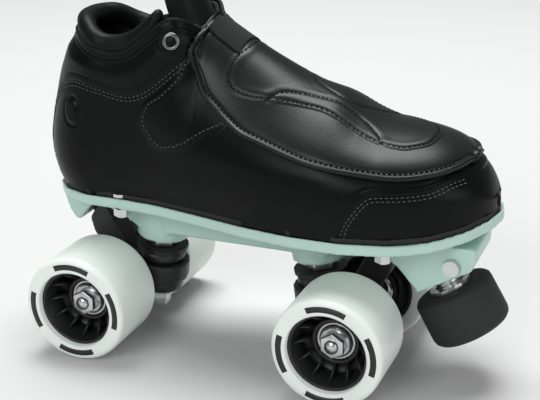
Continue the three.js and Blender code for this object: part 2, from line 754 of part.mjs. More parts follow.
function stopHousing() {
  const level = new THREE.Vector3(-STEM_DOWN.z, 0, STEM_DOWN.x);
  const inner = STEM_MOUTH.clone().addScaledVector(level, -STEM_DIAMETER / 2 - 3);
  const outer = STEM_MOUTH.clone().addScaledVector(level, STEM_DIAMETER / 2 + 14);
  return sidePrism(
    [
      [PIVOT_MOUTH.x + 1, DECK_BOTTOM + 1],
      [PIVOT_MOUTH.x + 1, PIVOT_MOUTH.z + 0.5],
      [PIVOT_MOUTH.x + 7, PIVOT_MOUTH.z - 4],
      [inner.x - 3, inner.z + 4],
      [inner.x, inner.z],
      [outer.x, outer.z],
      [outer.x + 2, outer.z + 5],
      [outer.x + 2, DECK_BOTTOM + 6],
    ],
    STOP_HOUSING_HALF_WIDTH,
  );
}

function cutsForTruck() {
  const cup = PIVOT_PIN_DIAMETER / 2 + PIVOT_CLEARANCE + PIVOT_CUP_WALL + GAP;
  const seat = solid(along(pin(cup, -12, PIVOT_CUP_DEPTH + GAP, ROUND), PIVOT_MOUTH, STEER_OUT));
  const thread = KINGPIN_DIAMETER / 2 + GAP;
  return seat.add(solid(along(pin(thread, 0, BOSS_AT + KINGPIN_IN_PLATE + 1), RING_CENTRE, KINGPIN_UP)));
}

function plate() {
  const turnRound = (made) => made.rotate([0, 0, 180]);
  const boss = solid(along(pin(BOSS_DIAMETER / 2, BOSS_AT, BOSS_AT + 24, ROUND), RING_CENTRE, KINGPIN_UP));
  const keelEnd = PIVOT_MOUTH.x + HOUSING_REACH - 2;
  const keelStart = RING_CENTRE.x + 4;
  const keel = solid(
    sidePrism(
      [
        [-keelEnd, DECK_BOTTOM + 1],
        [-keelEnd, DECK_BOTTOM - 3],
        [-keelStart - 14, DECK_BOTTOM - 9],
        [-keelStart, KEEL_BOTTOM],
        [keelStart, KEEL_BOTTOM],
        [keelStart + 14, DECK_BOTTOM - 9],
        [keelEnd, DECK_BOTTOM - 3],
        [keelEnd, DECK_BOTTOM + 1],
      ],
      KEEL_HALF_WIDTH,
    ),
  );
  const housing = solid(pivotHousing());
  const under = keel.add(boss).add(turnRound(boss)).add(turnRound(housing)).add(solid(stopHousing()));
  const belowDeck = solid(new THREE.BoxGeometry(600, 200, 120).translate(0, 0, DECK_BOTTOM + 1 - 60));
  const cuts = cutsForTruck();
  let made = under.intersect(belowDeck).add(deck()).subtract(cuts).subtract(turnRound(cuts));
  made = made.subtract(bootForm(-GAP).intersect(layer(-GAP, FORM_HEIGHT)));
  const stemBore = STEM_DIAMETER / 2 + RUNNING_FIT;
  made = made.subtract(solid(along(pin(stemBore, -STEM_IN_HOUSING - STEM_TRAVEL - GAP, 40, ROUND), STEM_MOUTH, STEM_DOWN)));
  const slotEnd = STEM_MOUTH.x + 40;
  const slot = new THREE.BoxGeometry(40, CLAMP_SLOT, 27).translate(slotEnd - 29, 0, DECK_BOTTOM - 16.5);
  made = made.subtract(solid(slot));
  const screwHole = pin(CLAMP_SCREW_DIAMETER / 2 + GAP, -60, 60).translate(HALF_BASE + CLAMP_SCREW_X, 0, CLAMP_SCREW_Z);
  made = made.subtract(solid(screwHole));
  for (const { x, y } of BOLTS) {
    const hole = pin(BOLT_DIAMETER / 2 + GAP, -20, 20).rotateX(Math.PI / 2).translate(x, y, DECK_BOTTOM);
    made = made.subtract(solid(hole));
  }
  return made;
}

// ---- Bolts between boot and plate ----

function mountBolt({ name, x, y }) {
  const nutTop = DECK_BOTTOM - GAP;
  const headTop = SOLE_BOTTOM + MIDSOLE_HEIGHT - GAP;
  const shank = pin(BOLT_DIAMETER / 2, nutTop - BOLT_NUT_HEIGHT - 1, headTop - 0.5);
  const head = pin(BOLT_HEAD_DIAMETER / 2, headTop - BOLT_HEAD_HEIGHT, headTop);
  const nutCorner = BOLT_NUT_FLATS / Math.sqrt(3);
  const nut = new THREE.CylinderGeometry(nutCorner, nutCorner, BOLT_NUT_HEIGHT, 6).translate(0, nutTop - BOLT_NUT_HEIGHT / 2, 0);
  const whole = geometryOf(join(shank, nut, head)).rotateX(Math.PI / 2);
  const mesh = meshOf(`mount_bolt_${name}`, whole, STEEL);
  mesh.position.set(x, y, 0);
  return mesh;
}

// ---- Toe stop ----

function toeStop() {
  const group = axisGroup(STEM_MOUTH, STEM_DOWN);
  const r = STEM_DIAMETER / 2;
  const rubberAt = STEM_SHOWING;
  const stem = pin(r, -STEM_IN_HOUSING, rubberAt + STEM_IN_RUBBER, ROUND);
  const bore = r + GAP;
  const wide = STOP_DIAMETER / 2;
  const end = rubberAt + STOP_HEIGHT;
  const rubber = turned(
    [
      [0, rubberAt + STEM_IN_RUBBER + GAP],
      [bore, rubberAt + STEM_IN_RUBBER + GAP],
      [bore, rubberAt],
      [wide - STOP_EDGE, rubberAt],
      [wide - 1, rubberAt + STOP_EDGE * 0.6],
      [wide, rubberAt + STOP_EDGE * 1.6],
      [wide, end - STOP_EDGE],
      [wide - STOP_EDGE * 0.3, end - STOP_EDGE * 0.3],
      [wide - STOP_EDGE, end],
      [0, end],
    ],
    FINE,
  );
  const washerAt = rubberAt - STOP_WASHER_HEIGHT - GAP;
  const washer = ring(bore, STOP_WASHER_DIAMETER / 2, washerAt, washerAt + STOP_WASHER_HEIGHT);
  group.add(meshOf("toe_stop_stem", stem, STEEL));
  group.add(meshOf("toe_stop_rubber", rubber, STOP_RUBBER));
  group.add(meshOf("toe_stop_washer", washer, STEEL));
  return group;
}

function clampScrew() {
  const half = STOP_HOUSING_HALF_WIDTH;
  const screw = turned(
    [
      [0, -half - CLAMP_HEAD_HEIGHT - GAP],
      [CLAMP_HEAD_DIAMETER / 2, -half - CLAMP_HEAD_HEIGHT - GAP],
      [CLAMP_HEAD_DIAMETER / 2, -half - GAP],
      [CLAMP_SCREW_DIAMETER / 2, -half - GAP],
      [CLAMP_SCREW_DIAMETER / 2, half + 1],
      [0, half + 1],
    ],
    SMALL,
  );
  const mesh = meshOf("toe_stop_clamp_screw", screw, STEEL);
  mesh.position.set(HALF_BASE + CLAMP_SCREW_X, 0, CLAMP_SCREW_Z);
  return mesh;
}

// ---- Assembly ----

function ends() {
  const group = new THREE.Group();
  for (const [sign, end] of [[1, "front"], [-1, "rear"]]) {
    const turn = new THREE.Group();
    turn.rotation.z = sign > 0 ? 0 : Math.PI;
    turn.add(truck(end));
    group.add(turn);
    for (const [side, hand] of [[1, "left"], [-1, "right"]]) {
      const rolling = wheel(`${end}_${hand}`);
      rolling.position.set(sign * HALF_BASE, side * WHEEL_MIDDLE, WHEEL_RADIUS);
      rolling.rotation.z = side > 0 ? 0 : Math.PI;
      group.add(rolling);
    }
  }
  return group;
}

function boot() {
  const group = new THREE.Group();
  group.add(meshOf("boot_upper", upper(), LEATHER));
  group.add(meshOf("midsole", midsole(), LEATHER));
  group.add(meshOf("boot_lining", lining(), LINING));
  group.add(meshOf("footbed", footbed(), LINING));
  group.add(meshOf("collar_pad", collarRoll(0), LEATHER));
  group.add(meshOf("tongue_base", tongueBase(), LEATHER));
  group.add(meshOf("tongue_top", tongueTop(), LEATHER));
  group.add(meshOf("instep_cover", cover(), LEATHER));
  group.add(meshOf("instep_tab", instepTab(), LEATHER));
  group.add(eyelet(1), eyelet(-1));
  return group;
}

const skate = new THREE.Group();
skate.add(ends());
skate.add(boot());
skate.add(meshOf("plate", plate(), MINT));
skate.add(toeStop());
skate.add(clampScrew());
skate.add(...BOLTS.map(mountBolt));

// The origin is under the middle of the skate's length, on the ground.
const extent = new THREE.Box3().setFromObject(skate, true);
skate.position.x = -(extent.min.x + extent.max.x) / 2;

export default skate;
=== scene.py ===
# %% [markdown]
# # A quad roller skate
#
# The skate has three layers of making. The hard parts (plate, trucks, wheels, toe stop) are moulded,
# turned or stamped, so they are spun and bevelled. The boot is leather pulled over a last, so every
# boot piece is laid on one last: a surface given by a few curves. The stitches, grain and wear come
# at the end, as small meshes and node materials. All sizes are in metres, in the frame of the CAD.

# %% Load the frame
import math

import bmesh
import bpy
import mathutils
import numpy as np
from mathutils import Matrix, Vector


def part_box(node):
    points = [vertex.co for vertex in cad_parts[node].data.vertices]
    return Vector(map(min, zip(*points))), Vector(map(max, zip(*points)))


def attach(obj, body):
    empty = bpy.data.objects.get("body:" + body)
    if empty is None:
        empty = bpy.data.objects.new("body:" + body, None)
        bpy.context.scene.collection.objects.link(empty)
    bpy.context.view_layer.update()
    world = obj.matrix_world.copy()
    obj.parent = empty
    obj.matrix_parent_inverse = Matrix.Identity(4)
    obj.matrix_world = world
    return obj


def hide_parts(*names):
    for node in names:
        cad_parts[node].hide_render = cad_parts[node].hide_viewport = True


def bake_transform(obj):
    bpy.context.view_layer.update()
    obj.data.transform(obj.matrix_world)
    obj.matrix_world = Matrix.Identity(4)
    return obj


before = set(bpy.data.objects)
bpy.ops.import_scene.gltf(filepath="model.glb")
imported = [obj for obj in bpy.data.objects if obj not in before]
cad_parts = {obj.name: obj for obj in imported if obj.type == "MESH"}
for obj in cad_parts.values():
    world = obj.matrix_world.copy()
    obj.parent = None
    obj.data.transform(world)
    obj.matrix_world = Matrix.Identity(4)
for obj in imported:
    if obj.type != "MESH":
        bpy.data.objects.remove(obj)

scene = bpy.context.scene
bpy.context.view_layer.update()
MM = 0.001


def middle(node):
    low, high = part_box(node)
    return (Vector(low) + Vector(high)) / 2


front_axle = middle("axle_front")
rear_axle = middle("axle_rear")
mid_x = (front_axle.x + rear_axle.x) / 2

# %% [markdown]
# ## Camera
#
# The skate is seen from its outer side, from a little ahead and above, through a long lens. A long lens
# keeps the wheels nearly round. The camera's axes are given as three directions, because that says the
# tilt exactly, and they become the columns of its matrix.

# %% Camera
CAMERA_PLACE = Vector((0.25788, -0.58496, 0.32908))
CAMERA_RIGHT = Vector((0.92738194, 0.37396518, -0.01062004))
CAMERA_DOWN = Vector((0.12445307, -0.33514801, -0.93390965))
CAMERA_AHEAD = Vector((-0.35280898, 0.86476925, -0.35735133))

camera_data = bpy.data.cameras.new("camera")
camera_data.sensor_width = 36
camera_data.lens = 79.862
camera_data.clip_start = 0.01
camera = bpy.data.objects.new("camera", camera_data)
turn = Matrix((CAMERA_RIGHT, -CAMERA_DOWN, -CAMERA_AHEAD)).transposed()
camera.matrix_world = Matrix.Translation(CAMERA_PLACE + Vector((mid_x, 0, 0))) @ turn.to_4x4()
scene.collection.objects.link(camera)
scene.camera = camera
print("camera at", [round(v, 4) for v in camera.location])

# %% [markdown]
# ## Floor and studio light
#
# A pale floor, a pale world and big soft lamps give the flat, shadowless look of a catalogue picture.
# One long lamp lies above and to the left, so that it draws one broad soft highlight along the leather.

# %% Floor, world and lamps
def plain_material(name, colour, roughness=0.5, metallic=0.0):
    material = bpy.data.materials.new(name)
    material.use_nodes = True
    shader = material.node_tree.nodes["Principled BSDF"]
    shader.inputs["Base Color"].default_value = (*colour, 1)
    shader.inputs["Roughness"].default_value = roughness
    shader.inputs["Metallic"].default_value = metallic
    return material


bpy.ops.mesh.primitive_plane_add(size=12, location=(0, 0, -0.0004))
floor = bpy.context.object
floor.name = "floor"
floor.data.materials.append(plain_material("floor_paint", (0.63, 0.615, 0.62), 0.9))

scene.view_settings.view_transform = "Standard"
world = bpy.data.worlds.new("studio")
scene.world = world
world.use_nodes = True
world.node_tree.nodes["Background"].inputs["Color"].default_value = (0.86, 0.875, 0.875, 1)
world.node_tree.nodes["Background"].inputs["Strength"].default_value = 0.2


def lamp(name, place, target, power, size, tint=(1, 1, 1)):
    data = bpy.data.lights.new(name, "AREA")
    data.shape = "RECTANGLE"
    data.size, data.size_y = size
    data.energy = power
    data.color = tint
    made = bpy.data.objects.new(name, data)
    made.location = place
    made.rotation_euler = (Vector(target) - Vector(place)).to_track_quat("-Z", "Y").to_euler()
    scene.collection.objects.link(made)


lamp("overhead", (-0.2, 0.55, 2.2), (0, 0.05, 0.1), 66, (1.6, 1.15), (0.96, 1, 0.98))
lamp("key", (-0.4, -2.4, 1.6), (0, 0, 0.05), 32, (1.4, 1.1), (0.97, 1, 0.99))
lamp("fill", (1.3, -0.6, 0.5), (0.05, 0, 0.1), 4, (0.7, 0.7))

# %% [markdown]
# ## The last
#
# A shoemaker pulls leather over a last. Here the last is a surface: for a place along the foot and a
# height, it gives how far the side lies from the middle. Smooth curves through a few measured points
# give the sole's outline, the back line and the ridge over the instep, and the rest is roundings.
# Every boot piece asks this one surface for its place, so the pieces fit each other.

# %% Curves through points
def curve_through(points):
    knots = np.array([p[0] for p in points], float)
    values = np.array([p[1] for p in points], float)

    def at(t):
        t = np.clip(np.asarray(t, float), knots[0], knots[-1])
        i = np.clip(np.searchsorted(knots, t, side="right") - 1, 0, len(knots) - 2)
        t0, t1 = knots[i], knots[i + 1]
        first, last = i == 0, i + 2 == len(knots)
        before = np.where(first, i + 1, i - 1)
        after = np.where(last, i, np.minimum(i + 2, len(knots) - 1))
        t_before = np.where(first, t1, knots[before])
        t_after = np.where(last, t0, knots[after])
        half = (t1 - t0) / 2
        wp, wn = half / (t0 - t_before), half / (t_after - t1)
        p = (t - t0) / (t1 - t0)
        pp, ppp = p * p, p * p * p
        return (
            (-wp * ppp + 2 * wp * pp - wp * p) * values[before]
            + ((1 + wp) * ppp + (-1.5 - 2 * wp) * pp + (-0.5 + wp) * p + 1) * values[i]
            + ((-1 - wn) * ppp + (1.5 + wn) * pp + 0.5 * p) * values[i + 1]
            + (wn * ppp - wn * pp) * values[after]
        )

    return at


def smoothstep(x, low, high):
    t = np.clip((x - low) / (high - low), 0, 1)
    return t * t * (3 - 2 * t)


# %% The last's own curves, in millimetres from the middle of the wheelbase
SOLE_BOTTOM = 86.8
HEEL_BACK, BOOT_LENGTH = -114.4, 263.0
TOE_TIP = HEEL_BACK + BOOT_LENGTH
TOE_ROUND, HEEL_ROUND = 85.0, 31.0
LEG_HALF_WIDTH = 31.5
WIDEST = SOLE_BOTTOM + 20
sole_half_width = curve_through([(0, 31), (0.12, 31), (0.27, 32), (0.4, 38.7), (0.55, 47.2), (0.68, 50.5), (1, 50.5)])
back_line = curve_through(
    [(76.8, 5.8), (88.8, 4.8), (96.8, 2), (113.8, 0), (124.8, 1.2), (143.8, 6.2), (163.8, 14), (189.8, 23.8), (240, 26)]
)
ridge_height = curve_through(
    [(0.3, 240), (0.345, 172), (0.37, 124), (0.387, 106), (0.405, 100), (0.43, 95.5), (0.477, 88), (0.54, 79)]
    + [(0.606, 70.5), (0.67, 65), (0.725, 56.5), (0.77, 51.8), (0.8, 51), (0.862, 48.5), (0.904, 45)]
    + [(0.942, 39.5), (0.968, 34), (0.985, 27), (1, 18)]
)


def centre_line(x):
    return 4 * smoothstep(x, TOE_TIP - 110, TOE_TIP - 10)


def share(x):
    return np.clip((x - HEEL_BACK) / BOOT_LENGTH, 0, 1)


def ridge(x):
    return SOLE_BOTTOM + ridge_height(share(x))


def toe_lift(x):
    return 9.7 * np.clip((x - TOE_TIP + 50) / 50, 0, 1.2) ** 2


def half_width(x, z, inset=0.0):
    foot = sole_half_width(share(x))
    tuck = 2.5 * (1 - smoothstep(z, SOLE_BOTTOM - 4, WIDEST))
    rise = smoothstep(z, SOLE_BOTTOM + 34, SOLE_BOTTOM + 88)
    flat = (foot - tuck) * (1 - rise) + LEG_HALF_WIDTH * rise - inset
    back = HEEL_BACK + back_line(z) + inset
    heel_in = np.clip((back + HEEL_ROUND - inset - x) / (HEEL_ROUND - inset), 0, 1)
    toe_in = np.clip((x - (TOE_TIP - TOE_ROUND)) / (TOE_ROUND - inset), 0, 1)
    top = ridge(x) - inset
    up = np.clip((z - WIDEST) / np.maximum(top - WIDEST, 1), 0, 1)
    fullness = 2.3 + 0.4 * smoothstep(z, SOLE_BOTTOM + 50, SOLE_BOTTOM + 90)
    rounds = (1 - heel_in**2) * (1 - toe_in**2) * (1 - up**fullness)
    return flat * np.sqrt(np.maximum(rounds, 0))


def on_last(x, z, side, inset=0.0):
    """Points on the last, in millimetres: side is -1 for the outer side of the foot and 1 for the inner."""
    return np.stack([x, centre_line(x) + side * half_width(x, z, inset), z], -1)


def to_metres(points):
    return (np.asarray(points) + (mid_x / MM, 0, 0)) * MM


print("ball of the foot is", round(2 * float(half_width(np.array(70.0), np.array(106.8))), 1), "mm wide")

# %% [markdown]
# ## Grids laid on the last
#
# A leather panel is a flat sheet that has been bent. So each one starts as a flat grid, and its points
# are then moved to their place on the last. The grid keeps the faces in tidy rows, and rows can be
# crowded where the surface turns quickly.

# %% A grid whose points are given a place
def grid_mesh(name, across, along, place, merge=0.00002):
    bm = bmesh.new()
    bmesh.ops.create_grid(bm, x_segments=across, y_segments=along, size=0.5)
    u = np.array([v.co.x for v in bm.verts]) + 0.5
    v = np.array([v.co.y for v in bm.verts]) + 0.5
    for vertex, spot in zip(bm.verts, place(u, v)):
        vertex.co = spot
    bmesh.ops.remove_doubles(bm, verts=bm.verts, dist=merge)
    return bm


def finish_mesh(name, bm, material, smooth=True, outward=True):
    if outward:
        bmesh.ops.recalc_face_normals(bm, faces=bm.faces)
    mesh = bpy.data.meshes.new(name)
    bm.to_mesh(mesh)
    bm.free()
    if smooth:
        mesh.shade_smooth()
    made = bpy.data.objects.new(name, mesh)
    scene.collection.objects.link(made)
    made.data.materials.append(material)
    return made


def vertex_array(bm):
    return np.array([v.co[:] for v in bm.verts])


def move_vertices(bm, spots):
    for vertex, spot in zip(bm.verts, spots):
        vertex.co = spot


def normals_of(bm):
    bm.normal_update()
    return np.array([v.normal[:] for v in bm.verts])

# %% [markdown]
# ## Panel lines
#
# The maker's drawing of the boot is a set of lines: where one panel lies over another, and where the
# needle ran. Each line is a list of (along, height) points, smoothed, and laid on one side of the last.
# Both the raised panels and the stitches use the same lines, so a seam and its stitches stay together.

# %% Lines on the last
def smooth_path(points, spacing=0.5):
    """An evenly spaced smooth run of points through the given ones."""
    points = np.asarray(points, float)
    steps = np.concatenate([[0], np.cumsum(np.maximum(np.linalg.norm(np.diff(points, axis=0), axis=1), 1e-6) ** 0.5)])
    fine = np.linspace(0, steps[-1], 60 * len(points))
    curves = [curve_through(list(zip(steps, points[:, k])))(fine) for k in range(points.shape[1])]
    run = np.stack(curves, 1)
    length = np.concatenate([[0], np.cumsum(np.linalg.norm(np.diff(run, axis=0), axis=1))])
    even = np.arange(0, length[-1] + spacing / 2, spacing)
    return np.stack([np.interp(even, length, run[:, k]) for k in range(points.shape[1])], 1)


def line_on_last(points, side, spacing=0.5, out=0.0):
    drawn = smooth_path(points, spacing)
    return on_last(drawn[:, 0], drawn[:, 1], side, -out)


COVER_EDGE = [(-14.7, 168.2), (-8.3, 155.6), (1.7, 146.5), (15.9, 137.5), (30.9, 133.2), (54.3, 127.3), (75.8, 123.9)]
COVER_EDGE += [(95.5, 121.7), (105.1, 121.3), (118.5, 123.1), (126.6, 125.1), (133.1, 127.8)]
WING = [(-16.8, 173.5), (-22, 163.5), (-31.5, 153.5), (-40.3, 147.1), (-43.7, 138.3), (-42.1, 131.7), (-34.7, 123.1)]
WING += [(-24.6, 122.6), (-14.7, 126.5), (-2.4, 134.7), (3.4, 137.5), (8, 140)]
HEEL_SEAM = [(-106, 137), (-98.6, 146), (-92, 152.5), (-85.6, 155.3), (-70, 153), (-52.7, 150.2), (-42, 153.6)]
HEEL_SEAM += [(-30.7, 161.8), (-17.3, 173.5), (-12, 178)]
TOE_CAP = [(133, 121.5), (128.4, 120.7), (119.4, 117.1), (105.9, 115.8), (91.8, 115.2), (88.1, 113.1), (82.3, 105.8)]
TOE_CAP += [(77, 96.8), (75, 90)]
COLLAR = [(-92.5, 181.5), (-86, 180.5), (-74, 175), (-62, 172.5), (-50, 175.5), (-40, 183), (-31, 190), (-24, 193)]
COLLAR += [(-18, 191), (-13.5, 186), (-10, 179)]
collar_height = curve_through(COLLAR)


def far_from(points, path):
    """How far each point is from a path of close points."""
    tree = mathutils.kdtree.KDTree(len(path))
    for i, spot in enumerate(path):
        tree.insert(spot, i)
    tree.balance()
    return np.array([tree.find(p)[2] for p in points])


def inside(points, outline):
    """Whether each (along, height) point lies in an outline, by counting crossings."""
    outline = np.asarray(outline, float)
    x, z = points[:, 0], points[:, 1]
    found = np.zeros(len(points), bool)
    for (x0, z0), (x1, z1) in zip(outline, np.roll(outline, -1, axis=0)):
        crosses = (z0 > z) != (z1 > z)
        at = x0 + (z - z0) * (x1 - x0) / np.where(z1 == z0, 1e-9, z1 - z0)
        found ^= crosses & (x < at)
    return found

# %% [markdown]
# ## Leather
#
# Full-grain leather is a soft satin. Its surface is a fine net of pebbles with a few wider creases, and
# it is a little more polished where hands and floors rub it. One node group makes that grain, and each
# leather gives it its own scale and depth.

# %% The grain group
def new_group(name, inputs, outputs):
    group = bpy.data.node_groups.new(name, "ShaderNodeTree")
    for label, kind, value in inputs:
        made = group.interface.new_socket(name=label, in_out="INPUT", socket_type=kind)
        made.default_value = value
    for label, kind in outputs:
        group.interface.new_socket(name=label, in_out="OUTPUT", socket_type=kind)
    return group, group.nodes.new("NodeGroupInput"), group.nodes.new("NodeGroupOutput")


def add_node(tree, kind, **settings):
    made = tree.nodes.new(kind)
    for key, value in settings.items():
        if key in made.inputs:
            made.inputs[key].default_value = value
        else:
            setattr(made, key, value)
    return made


def maths(tree, operation, a, b=0.0, c=0.0):
    made = tree.nodes.new("ShaderNodeMath")
    made.operation = operation
    for socket, value in zip(made.inputs, (a, b, c)):
        if isinstance(value, (int, float)):
            socket.default_value = value
        else:
            tree.links.new(value, socket)
    return made.outputs[0]


FLOAT, VECTOR, COLOUR = "NodeSocketFloat", "NodeSocketVector", "NodeSocketColor"
grain_group, g_in, g_out = new_group(
    "leather_grain",
    [("Vector", VECTOR, (0, 0, 0)), ("Scale", FLOAT, 900.0), ("Creases", FLOAT, 0.3)],
    [("Height", FLOAT), ("Wear", FLOAT), ("Patches", FLOAT)],
)
cells = add_node(grain_group, "ShaderNodeTexVoronoi", feature="SMOOTH_F1")
grain_group.links.new(g_in.outputs["Vector"], cells.inputs["Vector"])
grain_group.links.new(g_in.outputs["Scale"], cells.inputs["Scale"])
creases = add_node(grain_group, "ShaderNodeTexNoise", Scale=160.0, Detail=6.0, Roughness=0.65)
grain_group.links.new(g_in.outputs["Vector"], creases.inputs["Vector"])
patches = add_node(grain_group, "ShaderNodeTexNoise", Scale=24.0, Detail=3.0, Roughness=0.55)
grain_group.links.new(g_in.outputs["Vector"], patches.inputs["Vector"])
pebbles = maths(grain_group, "MULTIPLY", cells.outputs["Distance"], 1.0)
folded = maths(grain_group, "MULTIPLY", creases.outputs["Fac"], g_in.outputs["Creases"])
grain_group.links.new(maths(grain_group, "ADD", pebbles, folded), g_out.inputs["Height"])
grain_group.links.new(maths(grain_group, "MULTIPLY", creases.outputs["Fac"], patches.outputs["Fac"]), g_out.inputs["Wear"])
grain_group.links.new(patches.outputs["Fac"], g_out.inputs["Patches"])
print("grain group outputs", [s.name for s in grain_group.interface.items_tree if s.in_out == "OUTPUT"])

# %% Leathers
def leather(name, dark, light, rough, rougher, scale=900.0, depth=0.00008, coat=0.06, creases=0.3, shine=0.13):
    material = bpy.data.materials.new(name)
    material.use_nodes = True
    tree = material.node_tree
    shader = tree.nodes["Principled BSDF"]
    shader.inputs["Specular IOR Level"].default_value = shine
    shader.inputs["Coat Weight"].default_value = coat
    shader.inputs["Coat Roughness"].default_value = 0.42
    place = tree.nodes.new("ShaderNodeTexCoord").outputs["Object"]
    grain = tree.nodes.new("ShaderNodeGroup")
    grain.node_tree = grain_group
    grain.inputs["Scale"].default_value = scale
    grain.inputs["Creases"].default_value = creases
    tree.links.new(place, grain.inputs["Vector"])
    mix = add_node(tree, "ShaderNodeMix", data_type="RGBA")
    mix.inputs["A"].default_value = (*dark, 1)
    mix.inputs["B"].default_value = (*light, 1)
    tree.links.new(grain.outputs["Patches"], mix.inputs["Factor"])
    tree.links.new(mix.outputs["Result"], shader.inputs["Base Color"])
    spread = tree.nodes.new("ShaderNodeMapRange")
    spread.inputs["To Min"].default_value = rough
    spread.inputs["To Max"].default_value = rougher
    tree.links.new(grain.outputs["Wear"], spread.inputs["Value"])
    tree.links.new(spread.outputs["Result"], shader.inputs["Roughness"])
    bump = add_node(tree, "ShaderNodeBump", Strength=0.6, Distance=depth)
    tree.links.new(grain.outputs["Height"], bump.inputs["Height"])
    tree.links.new(bump.outputs["Normal"], shader.inputs["Normal"])
    return material


BODY_LEATHER = leather("boot_leather", (0.0012, 0.0014, 0.0014), (0.003, 0.0036, 0.0034), 0.3, 0.5, shine=0.1)
COVER_LEATHER = leather("cover_leather", (0.0042, 0.0048, 0.0046), (0.0085, 0.0098, 0.0093), 0.3, 0.48, 800.0, 0.00006, 0.12, 0.2, 0.2)
PAD_LEATHER = leather("padded_leather", (0.003, 0.0034, 0.0033), (0.0065, 0.0074, 0.007), 0.42, 0.65, 800.0, 0.00009, 0.04, 0.5)

# %% [markdown]
# ## The boot's body
#
# The body is one lasted shell, from the edge of the sole to the collar and over the ridge of the foot.
# It is laid as two half grids, outer and inner side, joined along the heel, the toe and the ridge. The
# panels on it are then raised or sunk by less than a millimetre along the panel lines, as skived
# leather is, and the needle's rows pull a shallow groove beside each edge.

# %% Place of each grid point
HEEL_SPAN, SIDE_SPAN, TOE_SPAN = 49.0, 146.6, 110.0
LOWER_ROWS = 0.2  # share of the rows below the widest line
FULLNESS = 2.5


def along_foot(u):
    """Base distance behind or ahead, from heel to toe, with even steps on the surface."""
    run = u * (HEEL_SPAN + SIDE_SPAN + TOE_SPAN)
    heel = HEEL_ROUND * (1 - np.cos(np.clip(run / HEEL_SPAN, 0, 1) * np.pi / 2))
    side = np.clip(run - HEEL_SPAN, 0, SIDE_SPAN)
    toe = TOE_ROUND * np.sin(np.clip((run - HEEL_SPAN - SIDE_SPAN) / TOE_SPAN, 0, 1) * np.pi / 2)
    return HEEL_BACK + heel + side * (BOOT_LENGTH - HEEL_ROUND - TOE_ROUND) / SIDE_SPAN + toe


def heel_share(x):
    return 1 - smoothstep(x, HEEL_BACK + HEEL_ROUND, -12)


def top_of_body(x):
    """Height and place of the top edge over each base place: the collar, then the ridge."""
    z = np.full_like(x, 180.0)
    for _ in range(12):
        shifted = x + back_line(z) * heel_share(x)
        z = np.where(shifted < COLLAR[-1][0], collar_height(shifted), ridge(shifted))
        z = np.minimum(z, ridge(shifted))
    return z


def shell_place(u, v, side, inset=0.0, bottom=SOLE_BOTTOM + 0.6):
    base = along_foot(u)
    top = top_of_body(base)
    low = bottom + toe_lift(base)
    widest = np.maximum(WIDEST, low + 0.2)
    x = base.copy()
    for _ in range(4):
        high = np.maximum(ridge(x) - inset, widest + 0.5)
        end = np.clip((top - widest) / (high - widest), 0, 1)
        angle = np.arcsin(end ** (FULLNESS / 2)) * np.clip((v - LOWER_ROWS) / (1 - LOWER_ROWS), 0, 1)
        upper = widest + np.sin(angle) ** (2 / FULLNESS) * (high - widest)
        z = np.where(v < LOWER_ROWS, low + (widest - low) * v / LOWER_ROWS, upper)
        z = np.minimum(z, np.maximum(top, low + 0.1))
        x = base + (back_line(z) + inset) * heel_share(base)
    y = half_width(x, z, inset)
    closed = (v > 0.9999) & (base > COLLAR[-1][0]) | (u > 0.9999) | (u < 0.0001)
    y = np.where(closed, 0, y)
    return np.stack([x, centre_line(x) + side * y, z], -1)


# %% Make the shell
def lasted_shell(columns, rows, inset=0.0, bottom=SOLE_BOTTOM + 0.6):
    halves = []
    for side in (-1, 1):
        halves.append(grid_mesh("half", columns, rows, lambda u, v: to_metres(shell_place(u, v, side, inset, bottom))))
    mesh = bpy.data.meshes.new("half")
    halves[1].to_mesh(mesh)
    halves[1].free()
    halves[0].from_mesh(mesh)
    bpy.data.meshes.remove(mesh)
    bmesh.ops.remove_doubles(halves[0], verts=halves[0].verts, dist=0.0001)
    bmesh.ops.recalc_face_normals(halves[0], faces=halves[0].faces)
    return halves[0]


shell = lasted_shell(320, 112)
print("shell has", len(shell.faces), "faces and", sum(e.is_boundary for e in shell.edges), "edges on its rims")

# %% [markdown]
# ### Raised and sunk panels
#
# The quarter round the ankle and the strip up the heel lie over the lower panel. The wing lies over
# both, and the toe cap goes under the vamp. A panel's rise is worked out from how far a point is from
# the panel's line, so its edge is a soft step one or two millimetres wide.

# %% Panels of the body
HEEL_LINE = [(-108.6, 90), (-110.2, 100), (-110.6, 112), (-109.6, 124), (-107, 134), (-102.5, 143.5), (-96, 151)]
HEEL_LINE += HEEL_SEAM[3:]
above_heel_line = [*map(tuple, smooth_path(HEEL_LINE, 1.0)), (-12, 240), (-150, 240), (-150, 80), (-108, 80)]
wing_outline = [*map(tuple, smooth_path(WING, 1.0)), (20, 160), (-5, 176)]
cap_outline = [*map(tuple, smooth_path(TOE_CAP, 1.0)), (74, 70), (170, 70), (170, 122)]
EYELET_AT = (-24.0, 182.0)
MARK_AT = (-88.0, 137.0)


def signed(points_mm, sides, line, outline):
    """Distance from a line on the last, positive inside the outline."""
    away = np.zeros(len(points_mm))
    for side in (-1, 1):
        chosen = sides == side
        away[chosen] = far_from(points_mm[chosen], line_on_last(line, side))
    return np.where(inside(points_mm[:, [0, 2]], outline), away, -away)


def groove(distance, at, width=0.7):
    return np.exp(-(((distance - at) / width) ** 2))


